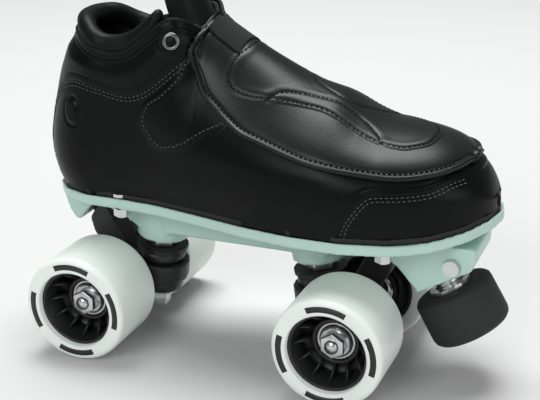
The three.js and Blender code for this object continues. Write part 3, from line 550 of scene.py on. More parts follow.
def body_relief(p):
    sides = np.where(p[:, 1] < centre_line(p[:, 0]), -1, 1)
    quarter = signed(p, sides, HEEL_LINE, above_heel_line)
    wing = signed(p, sides, WING, wing_outline)
    cap = signed(p, sides, TOE_CAP, cap_outline)
    collar = far_from(p, np.concatenate([line_on_last(COLLAR, s) for s in (-1, 1)]))
    rise = 0.9 * smoothstep(quarter, -0.4, 0.9)
    puff = smoothstep(quarter, 3, 12) * smoothstep(collar, 5, 13) * smoothstep(p[:, 2], 120, 160)
    rise = rise + 1.3 * puff - 0.35 * groove(quarter, 1.5) - 0.35 * groove(quarter, 3.6)
    rise = rise - 0.4 * groove(collar, 3.2) - 0.4 * groove(collar, 5.4)
    in_wing = smoothstep(wing, -0.4, 0.9)
    rise = rise * (1 - in_wing) + (0.9 + 0.9 * smoothstep(quarter, -3, 3) + 0.5 * smoothstep(wing, 3, 12)) * in_wing
    rise = rise - 0.4 * groove(wing, 2.2)
    rise = rise - 0.8 * smoothstep(cap, -0.9, 0.4) - 0.35 * groove(cap, -1.6) - 0.35 * groove(cap, -3.6)
    eyelet = np.hypot(p[:, 0] - EYELET_AT[0], p[:, 2] - EYELET_AT[1])
    rise = rise + 0.8 * (1 - smoothstep(eyelet, 6, 9)) + 0.6 * groove(eyelet, 8, 1.6)
    mark = np.hypot((p[:, 0] - MARK_AT[0]) / 6.2, (p[:, 2] - MARK_AT[1]) / 8.6) * 7.4
    rise = rise + 1.2 * (1 - smoothstep(mark, 4.6, 6.6)) - 0.5 * groove(mark, 7.2, 0.9)
    return rise


def raise_surface(bm, relief):
    spots, out = vertex_array(bm), normals_of(bm)
    rise = relief(spots / MM - (mid_x / MM, 0, 0))
    move_vertices(bm, spots + out * rise[:, None] * MM)
    return rise


rise = raise_surface(shell, body_relief)
print("panels rise from", round(rise.min(), 2), "to", round(rise.max(), 2), "mm")

# %% Close the shell under the sole and turn its top edge in
def rim_edges(bm, low, high):
    return [e for e in bm.edges if e.is_boundary and low < sum(v.co.z for v in e.verts) / 2 < high]


def turn_in(bm, edges, steps):
    """Extrudes a rim by steps of (towards the middle, up), in metres."""
    for inward, up in steps:
        made = bmesh.ops.extrude_edge_only(bm, edges=edges)["geom"]
        fresh = [g for g in made if isinstance(g, bmesh.types.BMVert)]
        for vertex in fresh:
            flat = Vector((mid_x - 0.06 - vertex.co.x, centre_line(60) * 0 - vertex.co.y, 0))
            vertex.co += flat.normalized() * inward + Vector((0, 0, up))
        edges = [g for g in made if isinstance(g, bmesh.types.BMEdge) and g.is_boundary]
    return edges


turn_in(shell, rim_edges(shell, 0.14, 0.3), [(0.0012, 0.0004), (0.0014, -0.001), (0.0004, -0.006)])
bmesh.ops.contextual_create(shell, geom=rim_edges(shell, 0.0, 0.12))
body = finish_mesh("boot_body", shell, BODY_LEATHER)
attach(body, "skate_base")
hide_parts("boot_upper")
print("boot body", len(body.data.polygons), "faces")

# %% [markdown]
# ## The smooth cover over the instep
#
# A one-piece cover hides the laces. It is thicker than the body, lies on top of it, and its cut edge is
# folded round a cord, so a pale rolled rim runs all the way round. The grid follows the edge line, which
# keeps the roll even: close to the edge the rows lie a few tenths of a millimetre apart.

# %% Place of the cover's points
COVER_LINE = COVER_EDGE[:9] + [(118.5, 122.2), (126.6, 123.4), (131, 124.3), (134.5, 125.0)]
cover_edge_height = curve_through(COVER_LINE)
BACK_EDGE = curve_through([(160, -13.4), (168.2, -14.7), (173.5, -16.8), (178, -16.9), (183, -15), (187, -12.6), (191, -10.8)])
COVER_TIP = 134.3


def crowd(t, power=1.35):
    return np.clip(t, 0, 1) ** power


def cover_place(u, v, side, inset=0.0):
    rows = crowd(v)
    front = np.sin(crowd(u, 1.08) * np.pi / 2) * 0.45 + crowd(u, 1.08) * 0.55
    base = -14.0 + (COVER_TIP + 14.0) * front
    x = base.copy()
    for _ in range(10):
        high = ridge(x) - inset
        low = np.minimum(cover_edge_height(x), high)
        edge = np.arcsin(np.clip((low - WIDEST) / (high - WIDEST), 0, 1) ** (FULLNESS / 2))
        angle = edge + (np.pi / 2 - edge) * rows
        z = WIDEST + np.sin(angle) ** (2 / FULLNESS) * (high - WIDEST)
        x = base + (BACK_EDGE(z) + 14.0) * (1 - front) ** 4
    y = np.where((v > 0.9999) | (u > 0.9999), 0, half_width(x, z, inset))
    return np.stack([x, centre_line(x) + side * y, z], -1)


def cover_border(side):
    """The cover's whole edge on one side: back edge, then the lower edge to the tip."""
    back = cover_place(np.zeros(60), np.linspace(1, 0, 60), side)
    low = cover_place(np.linspace(0, 1, 400), np.zeros(400), side)
    return np.concatenate([back, low])


# %% Lines drawn on the cover, seen from above
def height_at(x, y):
    """Height of the last above the widest line, at places seen from above."""
    low, high = np.full_like(x, WIDEST), ridge(x)
    for _ in range(30):
        half = (low + high) / 2
        wider = half_width(x, half) > np.abs(y - centre_line(x))
        low, high = np.where(wider, half, low), np.where(wider, high, half)
    return low


def line_from_above(points, spacing=0.5):
    drawn = smooth_path(points, spacing)
    return np.stack([drawn[:, 0], drawn[:, 1], height_at(drawn[:, 0], drawn[:, 1])], 1)


INSERT_OUTER = [(9.5, 0), (8.3, -8), (6, -13.5), (4.1, -19.7), (4.6, -23.4), (9, -26), (19.4, -26.6), (35.4, -24.1), (45.8, -22.2)]
INSERT_OUTER += [(56.5, -21.2), (73.4, -22.4), (90.2, -24), (100.6, -23.3), (106, -20.7), (113.4, -13.2), (115.6, -4)]
INSERT_INNER = [(114.5, 6), (108, 15), (100, 21), (90, 24.5), (73.4, 24), (56.5, 22), (45.8, 22.5), (35.4, 24.3)]
INSERT_INNER += [(19.4, 26.8), (9, 26), (4.6, 23.4), (4.1, 19.7), (6, 13.5), (8.3, 8), (9.5, 0)]
CRESCENT_OUTER = [(29, -25), (33, -20.6), (38, -17.6), (46, -14.4), (55, -12.6), (64, -10.9), (73, -11), (81.5, -13.9), (87, -18), (90.6, -23)]
CRESCENT_INNER = [(30, 24), (36, 15), (44, 3), (50, -1.6), (57, -4.6), (63, -5.6), (70, -3), (78, 5), (84, 13), (89, 24)]
insert_line = line_from_above(INSERT_OUTER + INSERT_INNER)
crescent_lines = [line_from_above(CRESCENT_OUTER), line_from_above(CRESCENT_INNER)]
print("insert is", round(len(insert_line) * 0.05, 1), "cm round")

# %% Thickness of the cover from its edge inwards
COVER_PROFILE = curve_through(
    [(-1, -0.3), (0, 0.1), (0.12, 1.3), (0.45, 2.4), (1.0, 3.1), (1.7, 3.3), (2.4, 2.9), (3.1, 2.1), (3.9, 1.75)]
    + [(4.9, 2.15), (6.5, 2.35), (20, 2.4)]
)


def cover_relief(p):
    border = np.concatenate([cover_border(-1), cover_border(1)])
    edge = far_from(p, border)
    rise = COVER_PROFILE(np.minimum(edge, 19))
    away = far_from(p, insert_line)
    drawn = inside(p[:, [0, 1]], insert_line[:, :2])
    within = np.where(drawn, away, -away)
    rise = rise + 0.55 * smoothstep(within, -0.3, 0.7) - 0.5 * groove(within, 1.6, 0.6) + 0.2 * groove(within, 4, 2)
    for line in crescent_lines:
        rise = rise - 0.5 * groove(far_from(p, line), 0, 0.7) + 0.12 * groove(far_from(p, line), 3, 1.6)
    return rise


halves = []
for side in (-1, 1):
    halves.append(grid_mesh("half", 250, 88, lambda u, v: to_metres(cover_place(u, v, side)), 0.000004))
joined = bpy.data.meshes.new("half")
halves[1].to_mesh(joined)
halves[1].free()
halves[0].from_mesh(joined)
cover_bm = halves[0]
bmesh.ops.remove_doubles(cover_bm, verts=cover_bm.verts, dist=0.00003)
bmesh.ops.recalc_face_normals(cover_bm, faces=cover_bm.faces)
if sum(f.normal.z for f in cover_bm.faces) < 0:
    bmesh.ops.reverse_faces(cover_bm, faces=cover_bm.faces)
rise = raise_surface(cover_bm, cover_relief)
cover = finish_mesh("instep_cover_leather", cover_bm, COVER_LEATHER, outward=False)
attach(cover, "skate_base")
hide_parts("instep_cover")
print("cover", len(cover.data.polygons), "faces, thickest", round(rise.max(), 2), "mm")

# %% [markdown]
# ## The padded collar
#
# Foam wrapped in soft leather makes the roll round the ankle. It follows the top edge of the body, leans
# in over it, and thins out at both ends beside the tongue. The section is an upright oval, swept along
# the edge, so the grid's rows run round the roll and close on themselves.

# %% The collar roll
ROLL_FRONT = -36.0
ROLL_WIDE, ROLL_HIGH = 5.2, 6.4


def collar_path(count):
    last = np.interp(ROLL_FRONT, along_foot(np.linspace(0, 1, 600)), np.linspace(0, 1, 600))
    outer = shell_place(np.linspace(last, 0, count), np.full(count, 1.0), -1)
    inner = shell_place(np.linspace(0, last, count), np.full(count, 1.0), 1)
    return smooth_path(np.concatenate([outer, inner[1:]])[::6], 0.5)


roll_path = collar_path(180)
ahead = np.gradient(roll_path, axis=0)
ahead /= np.linalg.norm(ahead, axis=1)[:, None]
inward = np.cross((0, 0, 1.0), ahead)
inward /= np.linalg.norm(inward, axis=1)[:, None]
inward *= np.sign((inward * ((-62, 0, 180) - roll_path)).sum(1))[:, None]


def roll_place(u, v):
    i = u * (len(roll_path) - 1)
    spot = np.stack([np.interp(i, range(len(roll_path)), roll_path[:, k]) for k in range(3)], 1)
    into = np.stack([np.interp(i, range(len(roll_path)), inward[:, k]) for k in range(3)], 1)
    end = np.minimum(u, 1 - u) * len(roll_path) * 0.5
    full = np.sqrt(np.clip(1 - (1 - np.clip(end / 7, 0, 1)) ** 2, 0.0004, 1))
    turn = v * 2 * np.pi
    side = np.cos(turn) * ROLL_WIDE * full * (1 + 0.04 * np.sin(i * 0.21) + 0.03 * np.sin(i * 0.083))
    rise = np.sin(turn) * ROLL_HIGH * full
    return to_metres(spot + into * (ROLL_WIDE * 0.95 - side)[:, None] + np.array((0, 0, 1.0)) * (3.0 + rise)[:, None])


roll_bm = grid_mesh("roll", 300, 28, roll_place, 0.00002)
roll = finish_mesh("collar_roll", roll_bm, PAD_LEATHER)
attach(roll, "skate_base")
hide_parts("collar_pad")



def swept_cord(name, path_mm, radius, material, sides=8, count=None):
    """A thin round cord along a path, as a closed mesh."""
    count = count or len(path_mm)
    direction = np.gradient(path_mm, axis=0)
    direction /= np.maximum(np.linalg.norm(direction, axis=1), 1e-9)[:, None]
    first = np.cross(direction, (0.1, 0.2, 1.0))
    first /= np.linalg.norm(first, axis=1)[:, None]
    second = np.cross(direction, first)

    def place(u, v):
        i = u * (len(path_mm) - 1)
        grab = lambda a: np.stack([np.interp(i, range(len(path_mm)), a[:, k]) for k in range(3)], 1)
        thin = np.where((u < 1e-6) | (u > 1 - 1e-6), 0.02, 1) * radius
        turn = v * 2 * np.pi
        return to_metres(grab(path_mm) + grab(first) * (np.cos(turn) * thin)[:, None] + grab(second) * (np.sin(turn) * thin)[:, None])

    return finish_mesh(name, grid_mesh(name, count, sides, place, 0.000004), material)


piping_path = np.concatenate([shell_place(np.linspace(0.46, 0, 220), np.full(220, 1.0), -1), shell_place(np.linspace(0, 0.46, 220), np.full(220, 1.0), 1)[1:]])
piping_path = piping_path[piping_path[:, 0] < -11.5]
piping = swept_cord("collar_piping", piping_path, 1.25, PAD_LEATHER, 8, 420)
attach(piping, "skate_base")

# %% [markdown]
# ## Lining and footbed
#
# Inside, the boot is lined with a knitted mesh over thin foam. It is the same last, moved in by the
# thickness of the leather, and a Solidify modifier gives it its wall.

# %% Lining
def fabric(name, dark, light, scale=1400.0):
    material = bpy.data.materials.new(name)
    material.use_nodes = True
    tree = material.node_tree
    shader = tree.nodes["Principled BSDF"]
    shader.inputs["Roughness"].default_value = 0.9
    shader.inputs["Sheen Weight"].default_value = 0.06
    shader.inputs["Specular IOR Level"].default_value = 0.15
    place = tree.nodes.new("ShaderNodeTexCoord").outputs["Object"]
    knit = add_node(tree, "ShaderNodeTexVoronoi", Scale=scale)
    tree.links.new(place, knit.inputs["Vector"])
    mix = add_node(tree, "ShaderNodeMix", data_type="RGBA")
    mix.inputs["A"].default_value = (*light, 1)
    mix.inputs["B"].default_value = (*dark, 1)
    tree.links.new(knit.outputs["Distance"], mix.inputs["Factor"])
    tree.links.new(mix.outputs["Result"], shader.inputs["Base Color"])
    bump = add_node(tree, "ShaderNodeBump", Strength=0.7, Distance=0.0002)
    tree.links.new(knit.outputs["Distance"], bump.inputs["Height"])
    tree.links.new(bump.outputs["Normal"], shader.inputs["Normal"])
    return material


KNIT = fabric("lining_knit", (0.008, 0.009, 0.009), (0.03, 0.034, 0.033))
lining_bm = lasted_shell(130, 54, 3.4, 91.5)
lining = finish_mesh("boot_lining_knit", lining_bm, KNIT)
wall = lining.modifiers.new("wall", "SOLIDIFY")
wall.thickness, wall.offset = 0.0022, -1
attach(lining, "skate_base")
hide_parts("boot_lining")
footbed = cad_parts["footbed"]
footbed.data.materials.clear()
footbed.data.materials.append(KNIT)
print("lining", len(lining.data.polygons), "faces")

# %% [markdown]
# ## The tongue
#
# The tongue is a wide foam slab, bent round the front of the ankle, that runs up from under the cover.
# A grid gives its middle surface, a vertex group makes it full in the middle and thin at the sewn
# edges, and Solidify turns that into the padded slab. It bends at the top of the cover.

# %% Tongue
TONGUE_HALF, TONGUE_LOW, TONGUE_HIGH = 17.6, 158.0, 223.0
tongue_front = curve_through([(150, 8), (165, 0.5), (178, -6.5), (187, -11), (194, -14.5), (205, -17.5), (226, -23)])


def tongue_place(u, v):
    z = TONGUE_LOW + v * (TONGUE_HIGH - TONGUE_LOW)
    across = (u - 0.5) * 2
    taper = 1 - 0.10 * smoothstep(z, 212, 226) * across**2
    y = np.sin(across * 1.25) / math.sin(1.25) * TONGUE_HALF * taper
    x = tongue_front(z) - 3.2 - 13.5 * (1 - np.cos(across * 1.25)) / (1 - math.cos(1.25))
    z = z - 5.0 * smoothstep(v, 0.8, 1) * across**2
    return to_metres(np.stack([x, y, z], 1))


tongue_bm = grid_mesh("tongue", 46, 70, tongue_place)
bmesh.ops.recalc_face_normals(tongue_bm, faces=tongue_bm.faces)
if sum(f.normal.x for f in tongue_bm.faces) < 0:
    bmesh.ops.reverse_faces(tongue_bm, faces=tongue_bm.faces)
tongue = finish_mesh("tongue_pad", tongue_bm, PAD_LEATHER, outward=False)
full = tongue.vertex_groups.new(name="full")
for vertex in tongue.data.vertices:
    spot = np.array(vertex.co) / MM - (mid_x / MM, 0, 0)
    edge = min(TONGUE_HALF - abs(spot[1]), TONGUE_HIGH - spot[2], 8.0)
    full.add([vertex.index], float(np.clip(0.25 + 0.75 * math.sin(min(max(edge, 0) / 8, 1) * math.pi / 2), 0.2, 1)), "REPLACE")
pad = tongue.modifiers.new("pad", "SOLIDIFY")
pad.thickness, pad.offset, pad.vertex_group = 0.0064, -0.3, "full"
round_off = tongue.modifiers.new("round", "SUBSURF")
round_off.levels = round_off.render_levels = 1
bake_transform(tongue)
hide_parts("tongue_base", "tongue_top")

# %% [markdown]
# ## Label and eyelets
#
# A plain woven label lies over the top of the cover, along the ridge. The eyelets are pressed metal
# rings, so each is one small profile spun round its own axis, with the dark hole behind it.

# %% Label
LABEL_WEAVE = fabric("label_weave", (0.006, 0.007, 0.007), (0.022, 0.026, 0.025), 2200.0)


def label_place(u, v):
    x = -11.0 + 18.5 * u
    y = centre_line(x) + (v - 0.5) * 2 * (12.0 + 1.0 * u)
    return to_metres(np.stack([x, y, height_at(x, y)], 1))


label_bm = grid_mesh("label", 40, 48, label_place)
bmesh.ops.recalc_face_normals(label_bm, faces=label_bm.faces)
if sum(f.normal.z for f in label_bm.faces) < 0:
    bmesh.ops.reverse_faces(label_bm, faces=label_bm.faces)
raise_surface(label_bm, lambda p: np.full(len(p), 3.5))
label = finish_mesh("cover_label", label_bm, LABEL_WEAVE, outward=False)
wall = label.modifiers.new("wall", "SOLIDIFY")
wall.thickness, wall.offset = 0.0011, -1
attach(label, "skate_base")
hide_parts("instep_tab")

# %% Metal finishes
def metal(name, colour, rough, rougher, metallic=1.0, scale=(300, 300, 300), depth=0.00002, noise=60.0, vary=0.15):
    material = bpy.data.materials.new(name)
    material.use_nodes = True
    tree = material.node_tree
    shader = tree.nodes["Principled BSDF"]
    shader.inputs["Base Color"].default_value = (*colour, 1)
    shader.inputs["Metallic"].default_value = metallic
    place = tree.nodes.new("ShaderNodeTexCoord").outputs["Object"]
    marks = add_node(tree, "ShaderNodeTexNoise", Scale=noise, Detail=8.0, Roughness=0.7)
    tree.links.new(place, marks.inputs["Vector"])
    spread = tree.nodes.new("ShaderNodeMapRange")
    spread.inputs["To Min"].default_value = rough
    spread.inputs["To Max"].default_value = rougher
    tree.links.new(marks.outputs["Fac"], spread.inputs["Value"])
    tree.links.new(spread.outputs["Result"], shader.inputs["Roughness"])
    shade = add_node(tree, "ShaderNodeMix", data_type="RGBA")
    shade.inputs["A"].default_value = (*[c * (1 - vary) for c in colour], 1)
    shade.inputs["B"].default_value = (*[min(c * (1 + vary), 1) for c in colour], 1)
    tree.links.new(marks.outputs["Fac"], shade.inputs["Factor"])
    tree.links.new(shade.outputs["Result"], shader.inputs["Base Color"])
    bump = add_node(tree, "ShaderNodeBump", Strength=0.5, Distance=depth)
    tree.links.new(marks.outputs["Fac"], bump.inputs["Height"])
    tree.links.new(bump.outputs["Normal"], shader.inputs["Normal"])
    return material


STEEL = metal("zinc_steel", (0.62, 0.64, 0.64), 0.18, 0.42, noise=220.0)
RACE_STEEL = metal("bearing_steel", (0.5, 0.52, 0.52), 0.15, 0.35, noise=300.0)
BLACK_STEEL = metal("black_oxide", (0.012, 0.012, 0.013), 0.3, 0.6, 0.3, noise=160.0)
DARK_METAL = metal("eyelet_steel", (0.2, 0.215, 0.21), 0.2, 0.4, noise=260.0)
POWDER = metal("powder_coat", (0.010, 0.010, 0.011), 0.35, 0.6, 0.0, depth=0.00006, noise=900.0)
URETHANE = metal("wheel_urethane", (0.86, 0.90, 0.875), 0.28, 0.42, 0.0, depth=0.00002, noise=40.0, vary=0.03)
HUB_NYLON = metal("hub_nylon", (0.008, 0.008, 0.009), 0.35, 0.55, 0.0, depth=0.00004, noise=500.0)
PRINT = metal("wheel_print", (0.012, 0.014, 0.014), 0.4, 0.55, 0.0, noise=200.0)
CUSHION = metal("cushion_rubber", (0.012, 0.012, 0.013), 0.3, 0.5, 0.0, noise=300.0)
STOP_RUBBER = metal("stop_rubber", (0.014, 0.015, 0.015), 0.6, 0.85, 0.0, depth=0.00015, noise=700.0)
PLATE_NYLON = metal("plate_nylon", (0.46, 0.64, 0.58), 0.3, 0.48, 0.0, depth=0.00003, noise=120.0, vary=0.04)
BOARD = metal("sole_edge", (0.008, 0.008, 0.008), 0.5, 0.8, 0.0, depth=0.0001, noise=300.0)


def spun(bm, profile, axis_point, axis, steps=32, up=None):
    """Spins a closed profile of (radius, along) in metres about an axis."""
    axis = Vector(axis).normalized()
    side = axis.orthogonal().normalized() if up is None else up
    verts = [bm.verts.new(Vector(axis_point) + side * r + axis * a) for r, a in profile]
    closed = profile[0][0] > 0 or profile[-1][0] > 0
    pairs = list(zip(verts, verts[1:])) + ([(verts[-1], verts[0])] if closed else [])
    edges = [bm.edges.new(pair) for pair in pairs]
    bmesh.ops.spin(bm, geom=verts + edges, cent=axis_point, axis=axis, angle=2 * math.pi, steps=steps, use_merge=True)
    bmesh.ops.remove_doubles(bm, verts=bm.verts, dist=0.000004)
    return bm


def mm(points):
    return [(r * MM, a * MM) for r, a in points]


# %% Eyelets
for side, hand in (("left", 1), ("right", -1)):
    centre = middle(f"eyelet_{side}")
    out = Vector((0.3, hand * 0.94, 0.1)).normalized()
    bm = bmesh.new()
    spun(bm, mm([(2.7, -1.0), (2.7, 0.6), (3.0, 1.0), (3.6, 1.15), (4.3, 0.9), (4.8, 0.3), (4.8, -1.0)]), centre, out, 40)
    eyelet = finish_mesh(f"eyelet_ring_{side}", bm, DARK_METAL)
    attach(eyelet, "skate_base")
    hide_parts(f"eyelet_{side}")
    bm = bmesh.new()
    spun(bm, mm([(0, -0.2), (2.75, -0.2), (2.75, -1.2), (0, -1.2)]), centre, out, 24)
    hole = finish_mesh(f"eyelet_hole_{side}", bm, BOARD)
    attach(hole, "skate_base")
print("eyelets made")

# %% [markdown]
# ## Stitching
#
# Every seam is sewn with thread about half a millimetre thick, in stitches of two and a half. One stitch
# is a tiny spindle of a few faces. It is copied along the same lines that raised the panels, and laid
# on the leather by finding the nearest place on it, so each stitch sinks in its groove.

# %% Sewing
THREAD_PALE = fabric("thread_pale", (0.055, 0.06, 0.058), (0.11, 0.12, 0.115), 3000.0)
THREAD_BLACK = fabric("thread_black", (0.0025, 0.0025, 0.0025), (0.006, 0.006, 0.006), 3000.0)


def sew(name, material, grounds, paths, pitch=2.7, length=1.9, radius=0.34, sink=0.1):
    trees = [mathutils.bvhtree.BVHTree.FromObject(g, bpy.context.evaluated_depsgraph_get()) for g in grounds]
    bm = bmesh.new()
    count = 0
    for path in paths:
        spots = to_metres(path)
        run = np.concatenate([[0], np.cumsum(np.linalg.norm(np.diff(spots, axis=0), axis=1))])
        for at in np.arange(pitch * MM / 2, run[-1], pitch * MM):
            here = Vector([np.interp(at, run, spots[:, k]) for k in range(3)])
            next_at = Vector([np.interp(min(at + 0.0006, run[-1]), run, spots[:, k]) for k in range(3)])
            found = min((t.find_nearest(here) for t in trees), key=lambda f: f[3])
            along = next_at - here
            along -= found[1] * along.dot(found[1])
            if along.length < 1e-6:
                continue
            along.normalize()
            third = found[1].cross(along)
            spot = found[0] + found[1] * (radius - sink * 1.6) * MM
            place = Matrix.Translation(spot) @ Matrix((along, third, found[1])).transposed().to_4x4()
            place = place @ Matrix.Diagonal((length / 2 * MM, radius * MM, radius * MM, 1))
            bmesh.ops.create_uvsphere(bm, u_segments=6, v_segments=4, radius=1, matrix=place @ Matrix.Rotation(math.pi / 2, 4, "Y"))
            count += 1
    made = finish_mesh(name, bm, material)
    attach(made, "skate_base")
    print(name, count, "stitches")
    return made


def beside(line, side, inset):
    """A row beside a line on the last, moved along the surface to its left by inset."""
    path = line_on_last(line, side, 0.5)
    ahead = np.gradient(path, axis=0)
    out = np.stack([np.zeros(len(path)), np.full(len(path), float(side)), np.full(len(path), 0.3)], 1)
    across = np.cross(ahead, out)
    across /= np.maximum(np.linalg.norm(across, axis=1), 1e-9)[:, None]
    return path + across * inset * side


SIDES = (-1, 1)
heel_rows = [beside(HEEL_LINE, s, i) for s in SIDES for i in (-1.5, -3.6)]
pale_rows = heel_rows
dark_rows = [beside(WING, s, 2.2) for s in SIDES]
cap_rows = [beside(TOE_CAP, s, i) for s in SIDES for i in (1.6, 3.6)]
collar_rows = [beside(COLLAR[:-1], s, i) for s in SIDES for i in (3.2, 5.4)]
sew("stitches_quarter", THREAD_PALE, [body], pale_rows)
sew("stitches_collar", THREAD_PALE, [body], collar_rows)
sew("stitches_wing", THREAD_PALE, [body], dark_rows)
sew("stitches_toe_cap", THREAD_PALE, [body], cap_rows)


def cover_row(side, away):
    """A row on the cover a little inside its edge."""
    u = np.linspace(0, 1, 500)
    border = cover_place(u, np.zeros(500), side)
    step = cover_place(u, np.full(500, 0.06), side) - border
    step /= np.maximum(np.linalg.norm(step, axis=1), 1e-6)[:, None]
    back = cover_place(np.zeros(60), np.linspace(0.95, 0.02, 60), side)
    inner = cover_place(np.full(60, 0.03), np.linspace(0.95, 0.02, 60), side) - back
    inner /= np.maximum(np.linalg.norm(inner, axis=1), 1e-6)[:, None]
    return smooth_path(np.concatenate([(back + inner * away)[::6], (border + step * away)[8:470:9]]), 0.5)


cover_rows = [cover_row(s, 3.9) for s in SIDES]
toward = np.gradient(insert_line, axis=0)
sideways = np.cross(toward, (0, 0, 1.0))
sideways /= np.maximum(np.linalg.norm(sideways, axis=1), 1e-9)[:, None]
test = inside((insert_line + sideways)[:, [0, 1]], insert_line[:, :2]).mean() > 0.5
insert_row = insert_line + sideways * (1.6 if test else -1.6)
sew("stitches_cover_edge", THREAD_BLACK, [cover], cover_rows, 2.7, 1.9, 0.4)
sew("stitches_insert", THREAD_BLACK, [cover], [insert_row], 2.7, 1.9, 0.4)
sew("stitches_crescents", THREAD_BLACK, [cover], crescent_lines, 2.4, 1.7, 0.34)

# %% [markdown]
# ## Finishes for the pieces kept from the frame
#
# Small turned and moulded parts are already the right shape, so they only need their finish. Each
# name's beginning says what the part is made of.

# %% Finishes by name
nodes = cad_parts
FINISHES = {
    "midsole": BOARD, "bearing": RACE_STEEL, "hanger": POWDER, "cushion": CUSHION, "retainer_top": BLACK_STEEL,
    "retainer_bottom": STEEL, "pivot_cup": HUB_NYLON, "kingpin": STEEL, "axle": STEEL, "mount_bolt": STEEL,
    "toe_stop_clamp": STEEL, "toe_stop_stem": STEEL, "toe_stop_washer": STEEL, "toe_stop_rubber": STOP_RUBBER,
    "plate": PLATE_NYLON, "hub": HUB_NYLON, "tyre": URETHANE,
}
for name, node in nodes.items():
    for start, finish in FINISHES.items():
        if name.startswith(start):
            node.data.materials.clear()
            node.data.materials.append(finish)


def hidden_by(piece, body, slot, *names):
    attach(piece, body)
    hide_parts(*names)


def extent(name, axis):
    """Centre, first and last place along an axis, and radius of a turned node, in metres."""
    axis = Vector(axis).normalized()
    spots = np.array([v.co[:] for v in nodes[name].data.vertices])
    centre = (spots.min(0) + spots.max(0)) / 2
    run = (spots - centre) @ np.array(axis)
    away = np.linalg.norm(spots - centre - run[:, None] * np.array(axis), axis=1)
    return Vector(centre), run.min(), run.max(), away.max()


def turned(axis):
    return Vector((0, 0, 1)).rotation_difference(Vector(axis)).to_matrix().to_4x4()


def hex_nut(bm, centre, axis, flats, height):
    radius = flats / math.sqrt(3)
    made = bmesh.ops.create_cone(bm, cap_ends=True, segments=6, radius1=radius, radius2=radius, depth=height, matrix=Matrix.Translation(centre) @ turned(axis))
    edges = list({e for v in made["verts"] for e in v.link_edges})
    bmesh.ops.bevel(bm, geom=edges, offset=0.0005, offset_type="OFFSET", segments=2, profile=0.5, affect="EDGES", material=-1)


def threaded(bm, centre, axis, radius, start, end, pitch=0.00125, depth=0.0004):
    turns = np.arange(start + pitch / 2, end - pitch / 2, pitch)
    profile = [(0, start), (radius - depth, start)]
    for at in turns:
        profile += [(radius - depth, at), (radius, at + pitch * 0.35), (radius, at + pitch * 0.6)]
    profile += [(radius - depth, end), (0, end)]
    spun(bm, profile, centre, axis, 24)


# %% [markdown]
# ## Wheels
#
# A urethane tyre is cast round a moulded nylon hub. The tyre's section is spun, with a rounded
# shoulder and a flat face. The hub is a dish with thin ribs that run from the boss to the rim.
# Plain bands take the place of the printing on the face.

